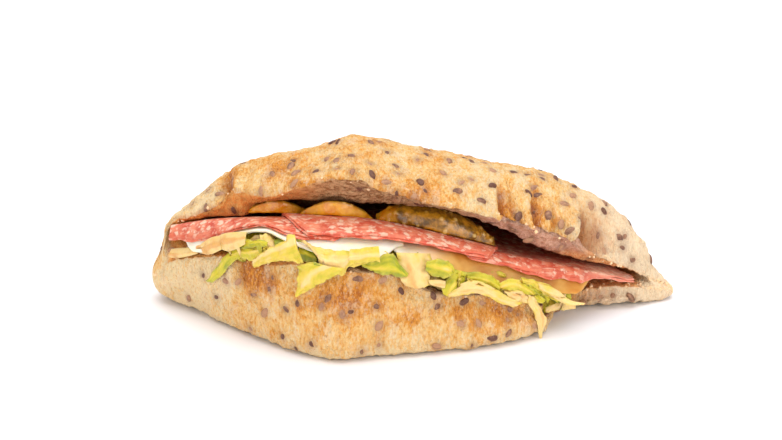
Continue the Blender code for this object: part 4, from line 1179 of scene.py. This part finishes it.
# Each leaf: its crop, how green it is at its start and its end, how ruffled it is, and places along it. A
# place has, for both edges, the pixel across and down in the crop and the mm that the edge is before the lip
LEAVES = (
    ("lip_left", LEFT_CROP, (-0.25, 0), 0.12, (55, 215, -0.5, 35, 285, 0.8),
     (140, 205, -0.5, 140, 285, 1), (250, 215, 0, 262, 255, 1)),
    ("cream_1", LEFT_CROP, (-0.5, -0.15), 0.1, (262, 200, 1, 272, 236, 1.6),
     (310, 160, 1.6, 330, 262, 2.6), (375, 122, 1.8, 390, 250, 3), (450, 108, 1.6, 452, 222, 2.6)),
    ("cream_2", LEFT_CROP, (-0.25, 0.05), 0.15, (420, 112, 1.2, 428, 205, 1.8),
     (480, 90, 1.6, 500, 236, 2.8), (570, 80, 1.8, 580, 212, 3), (655, 76, 1.4, 640, 180, 2.2)),
    ("strip", LEFT_CROP, (0.5, 0.8), 0.7, (830, 185, 0, 800, 235, 1), (700, 205, 0.5, 700, 310, 2),
     (590, 215, 1, 600, 290, 2), (500, 250, 1.5, 520, 350, 2.5), (420, 350, 2.5, 460, 420, 3),
     (330, 470, 3, 385, 485, 3)),
    ("curl", LEFT_CROP, (0.85, 0.75), 1, (590, 190, 1, 610, 212, 1.5), (630, 128, 0, 650, 207, 1.5),
     (690, 150, 0, 690, 207, 2), (760, 145, 0, 760, 197, 2), (818, 158, 0, 822, 195, 1.5)),
    ("fold", LEFT_CROP, (0.45, 0.3), 1.2, (1035, 95, 0, 1112, 330, 3), (900, 172, 1, 1000, 318, 3.5),
     (780, 240, 1.5, 860, 325, 3.5), (712, 290, 2, 780, 347, 3), (698, 335, 2.5, 705, 364, 3)),
    ("recess", LEFT_CROP, (1, 1), 1, (1050, 140, -4, 1100, 315, -1), (1130, 180, -4, 1150, 315, -1),
     (1205, 250, -3, 1215, 310, -1)),
    ("broad", LEFT_CROP, (0.12, 0.35), 1.2, (1060, 128, -2.5, 1210, 290, 1),
     (1200, 196, -2.5, 1275, 385, 2), (1350, 226, -2, 1400, 425, 2.5), (1500, 232, -1.5, 1480, 368, 2),
     (1640, 222, -0.5, 1620, 335, 1.5)),
    ("hanging", LEFT_CROP, (0.45, 0.4), 1.2, (1170, 318, 2.5, 1440, 378, 3), (1066, 362, 3, 1330, 450, 4),
     (1062, 440, 3.5, 1200, 515, 4), (1045, 590, 4, 1052, 602, 4)),
    ("hanging_fold", LEFT_CROP, (0.95, 0.7), 1, (1185, 322, 3, 1212, 400, 3.2),
     (1235, 330, 3, 1250, 435, 3.2), (1275, 368, 3, 1288, 440, 3)),
    ("broad_end", RIGHT_CROP, (0.25, 0.45), 1, (-40, 112, 0.5, -60, 242, 2), (90, 95, 1, 100, 216, 2),
     (187, 88, 1, 197, 216, 2)),
    ("green", RIGHT_CROP, (0.8, 0.95), 1, (40, 212, 0, 60, 252, 0.5), (150, 200, 0.5, 170, 302, 1),
     (290, 140, 0.5, 280, 326, 2), (360, 230, 1.5, 370, 337, 2.5), (428, 305, 2.5, 412, 335, 2.5)),
    ("pale", RIGHT_CROP, (0.1, 0), 1.3, (310, 138, -1, 605, 148, -1), (335, 225, 0, 600, 215, 0),
     (380, 290, 1, 585, 290, 1), (365, 345, 2, 590, 345, 2), (395, 395, 2.5, 605, 388, 2.5),
     (470, 428, 3, 560, 418, 3)),
    ("knob", RIGHT_CROP, (0.75, 0.65), 1, (572, 205, 2.5, 562, 275, 2.5), (650, 188, 2, 612, 322, 3),
     (740, 200, 2, 700, 342, 3), (792, 262, 2, 782, 312, 2.5)),
    ("chip", RIGHT_CROP, (0, 0), 0.4, (588, 360, 3, 598, 395, 3), (660, 358, 3, 660, 417, 3.2),
     (724, 370, 2.8, 718, 423, 3)),
    ("stem", RIGHT_CROP, (0.85, 0.6), 1, (760, 268, 0, 892, 300, 0), (742, 340, 1, 888, 370, 1.2),
     (692, 420, 2, 812, 425, 2.2), (702, 470, 2.5, 752, 497, 2.5)),
    ("rim", RIGHT_CROP, (0.1, 0.2), 0.7, (742, 448, 2.5, 745, 500, 3), (880, 373, 2.5, 860, 484, 3.2),
     (985, 366, 2.5, 965, 467, 3.2), (1100, 418, 2.5, 1070, 497, 3.2), (1220, 488, 2.5, 1150, 542, 3),
     (1340, 545, 2.5, 1262, 578, 3)),
    ("back_green", RIGHT_CROP, (0.8, 0.5), 1, (885, 298, -1, 895, 368, 0), (1000, 298, -1, 990, 378, 0.5),
     (1100, 328, -0.5, 1090, 412, 1), (1155, 385, 0, 1195, 472, 1)),
    ("yellow", RIGHT_CROP, (0.55, 0.6), 1, (1148, 385, 0.5, 1170, 452, 1),
     (1260, 343, 0.5, 1270, 442, 1.5), (1342, 385, 0.5, 1372, 482, 1.5), (1442, 450, 0.5, 1442, 532, 1.5),
     (1522, 520, 0.5, 1502, 547, 1.5)),
    ("white_rib", RIGHT_CROP, (0.1, 0.25), 1, (1168, 438, 1.5, 1255, 512, 2),
     (1270, 438, 1.5, 1312, 532, 2.2), (1382, 468, 1.5, 1392, 548, 2.2), (1452, 520, 1.5, 1462, 556, 2)),
    ("slant", RIGHT_CROP, (0.4, 0.35), 1, (1330, 338, -1, 1350, 388, 0), (1440, 368, -1, 1450, 432, 0),
     (1552, 398, -1, 1542, 492, 0), (1645, 458, -1, 1622, 548, 0)),
    ("slant_green", RIGHT_CROP, (0.9, 0.8), 1, (1380, 398, 0.2, 1400, 442, 0.5),
     (1472, 438, 0.2, 1482, 492, 0.5), (1562, 508, 0.2, 1542, 548, 0.5)),
    ("sliver", RIGHT_CROP, (0, 0), 0.5, (1385, 478, 2.5, 1442, 498, 2.5), (1393, 560, 3, 1482, 590, 3),
     (1438, 650, 3, 1530, 660, 3), (1453, 722, 3, 1520, 722, 3), (1478, 835, 3, 1486, 838, 3)),
    ("whisker", WHOLE_PHOTO, (0.1, 0), 0.3, (538, 283, 0, 540, 290, 1), (556, 289, 0, 554, 298, 1),
     (570, 300, 0, 568, 305, 1), (585, 303, 0, 584, 305, 0.5)),
)


def traced_place(crop, across, down, ahead):
    """The place in mm, to a tenth, that a pixel of a crop shows at that distance before the lower lip."""
    left, top, enlarged = crop
    across = (left + across / enlarged - PHOTO_MIDDLE[0]) / PHOTO_SCALE
    down = (top + down / enlarged - PHOTO_MIDDLE[1]) / PHOTO_SCALE
    sine, cosine = math.sin(LOOK_DOWN), math.cos(LOOK_DOWN)
    ray = np.array([across, cosine - down * sine, -sine - down * cosine])
    # How far forward the lip is depends on x, and x on how far off the place is: both settle in a few steps
    y = -50 * MM
    for _ in range(7):
        place = CAMERA_PLACE + ray * ((y - CAMERA_PLACE[1]) / ray[1])
        y = float(LOWER_LIP_Y(min(place[0], LEAF_TURN_X))) - ahead * MM
    return [round(float(v) / MM, 1) for v in place]


leaves = []
for i, (name, crop, greens, ruffle, *places) in enumerate(LEAVES):
    knots = [traced_place(crop, *p[:3]) + traced_place(crop, *p[3:]) for p in places]
    leaves.append(leaf(f"leaf_{name}", knots, greens, 10 + i, ruffle))
SHREDS, SHREDS_LEFT, SHREDS_WIDE = 40, -54, 106
rng = random.Random(5)
for i in range(SHREDS):
    x = SHREDS_LEFT + SHREDS_WIDE * (i + rng.random()) / SHREDS
    lip_y, lip_z = LOWER_LIP_Y(min(x * MM, LEAF_TURN_X)) / MM, LOWER_LIP_Z(x * MM) / MM
    room = BAND_FRONT_Z(x * MM) / MM - 3.5 - lip_z
    y, z = lip_y + rng.uniform(3, 8), lip_z + rng.uniform(0.1, 0.8) * max(room, 1)
    turn, length, half = rng.uniform(-0.9, 0.5), rng.uniform(8, 15), rng.uniform(1.4, 3.2)
    lean = rng.uniform(-0.6, 0.9)
    knots = []
    for s in (-0.5, -0.15, 0.2, 0.5):
        climb = s * length * math.sin(turn) * 0.6
        centre = (x + s * length * math.cos(turn), y + 3 * s * rng.uniform(-1, 1), z + climb)
        high = half * (1 - 1.6 * s * s)
        up = (0.3 * high * math.sin(turn), high * math.sin(lean), high * math.cos(lean))
        knots.append([c + u for c, u in zip(centre, up)] + [c - u for c, u in zip(centre, up)])
    tint = rng.choice((0.05, 0.2, 0.5, 0.8, 0.95))
    leaves.append(leaf(f"shred_{i}", knots, (tint, tint + rng.uniform(-0.2, 0.2)), 200 + i, 1.0, 26, 9))

# The core fills the space behind the leaves, from the bread up to just under the cheese
xs = np.linspace(-80, 56, 60) * MM
core = []
for x in xs:
    lip_y = float(LOWER_LIP_Y(min(x, LEAF_TURN_X)))
    upper, lower = [], []
    for row in range(14):
        y = lip_y + (5.5 + 1.4 * row) * MM
        roof = float(cheese_top(x, y)) - CHEESE_THICKNESS - 1.0 * MM
        hit = bread_tree.ray_cast(Vector((x, y, roof)), Vector((0, 0, -1)))[0]
        ground = hit.z + 0.5 * MM if hit else roof - 2 * MM
        height = max(ground + 0.3 * MM, ground + (roof - ground) * (0.35 + 0.5 * min(1, row / 4)))
        lump = 0.5 * MM * noise.noise(Vector((x, y, 0)) / (5 * MM)) * (height > ground + 2 * MM)
        upper.append((x, y, height + lump))
        lower.append((x, y, ground))
    core.append(upper[::-1] + lower)
core = np.array(core)
shade = {"leaf": 0.75 + 0.3 * bumps(core, 6 * MM, 2.0), "edge": 0 * core[:, :, 0]}
leaves.append(loft("lettuce_core", core, core[0].mean(axis=0), core[-1].mean(axis=0), shade))

lettuce = Surface("iceberg_lettuce", Roughness=0.34, Specular_IOR_Level=0.45, Subsurface_Weight=0.22)
lettuce.set(Subsurface_Radius=(0.004, 0.005, 0.0012), Subsurface_Scale=0.6)
green = lettuce.attribute("leaf") + 0.5 * (lettuce.noise(3 * MM, 3, seed=2.0) - 0.5)
shade = lettuce.layers(
    lettuce.blend(lettuce.step(green, -0.5, -0.08), paint(228, 170, 96), paint(242, 206, 132)),
    (lettuce.step(green, 0.02, 0.34), 228, 198, 72),
    (lettuce.step(green, 0.30, 0.66), 200, 188, 36),
    (lettuce.step(green, 0.62, 1.05), 140, 152, 24),
    # painted light: the thin rims paler, as if lit through
    (lettuce.attribute("edge") * 0.3, 242, 216, 124),
)
lettuce.set(Base_Color=shade)
veins = lettuce.noise(1.1 * MM, 3, stretch=(1.0, 1.0, 0.6), seed=3.0)
lettuce.bump(veins, 0.45 * MM, 1.0)
heap = join("lettuce_leaves", leaves)
heap.data.shade_smooth()
dress(heap, lettuce, "iceberg_lettuce", "lettuce_shreds")

# %% [markdown]
# ## Floor, light and camera
# The photo is a bright product shot: a white floor, broad light from above, and a low camera in front.

# %% Stage
floor_mesh = bpy.data.meshes.new("floor")
floor_mesh.from_pydata([(-4, -4, 0), (4, -4, 0), (4, 4, 0), (-4, 4, 0)], [], [(0, 1, 2, 3)])
floor = add_object("floor", floor_mesh)
floor_surface = Surface("studio_floor", Roughness=0.7, Specular_IOR_Level=0.2)
floor_surface.set(Base_Color=paint(250, 250, 253))
floor.data.materials.append(floor_surface.material)

world = bpy.data.worlds.new("studio_world")
bpy.context.scene.world = world
world.use_nodes = True
backdrop = world.node_tree.nodes["Background"].inputs
backdrop["Color"].default_value, backdrop["Strength"].default_value = (0.94, 0.93, 1.0, 1), 0.52


def softbox(name, place, target, size, power, colour=(1, 1, 1)):
    light = bpy.data.lights.new(name, "AREA")
    light.shape, light.size, light.energy, light.color = "DISK", size, power, colour
    made = add_object(name, light)
    made.location = place
    made.rotation_euler = (Vector(target) - Vector(place)).to_track_quat("-Z", "Y").to_euler()


softbox("overhead", (0.0, 0.05, 1.1), (0, 0, 0.03), 1.7, 15.6, (1.0, 0.975, 0.95))
softbox("front_fill", (-0.7, -1.15, 0.5), (0, 0, 0.03), 1.0, 4.9, (1.0, 0.97, 0.93))
softbox("right_fill", (0.9, -0.9, 0.6), (0.04, 0, 0.03), 0.8, 5.6, (1.0, 0.97, 0.94))

camera_data = bpy.data.cameras.new("photo_camera")
camera_data.lens, camera_data.sensor_width, camera_data.clip_start = 88.2, 36.0, 0.01
camera = add_object("photo_camera", camera_data)
camera.location = CAMERA_PLACE - CENTRE
camera.rotation_euler = (math.pi / 2 - LOOK_DOWN, 0, 0)
bpy.context.scene.camera = camera
bpy.context.scene.view_settings.view_transform = "Standard"
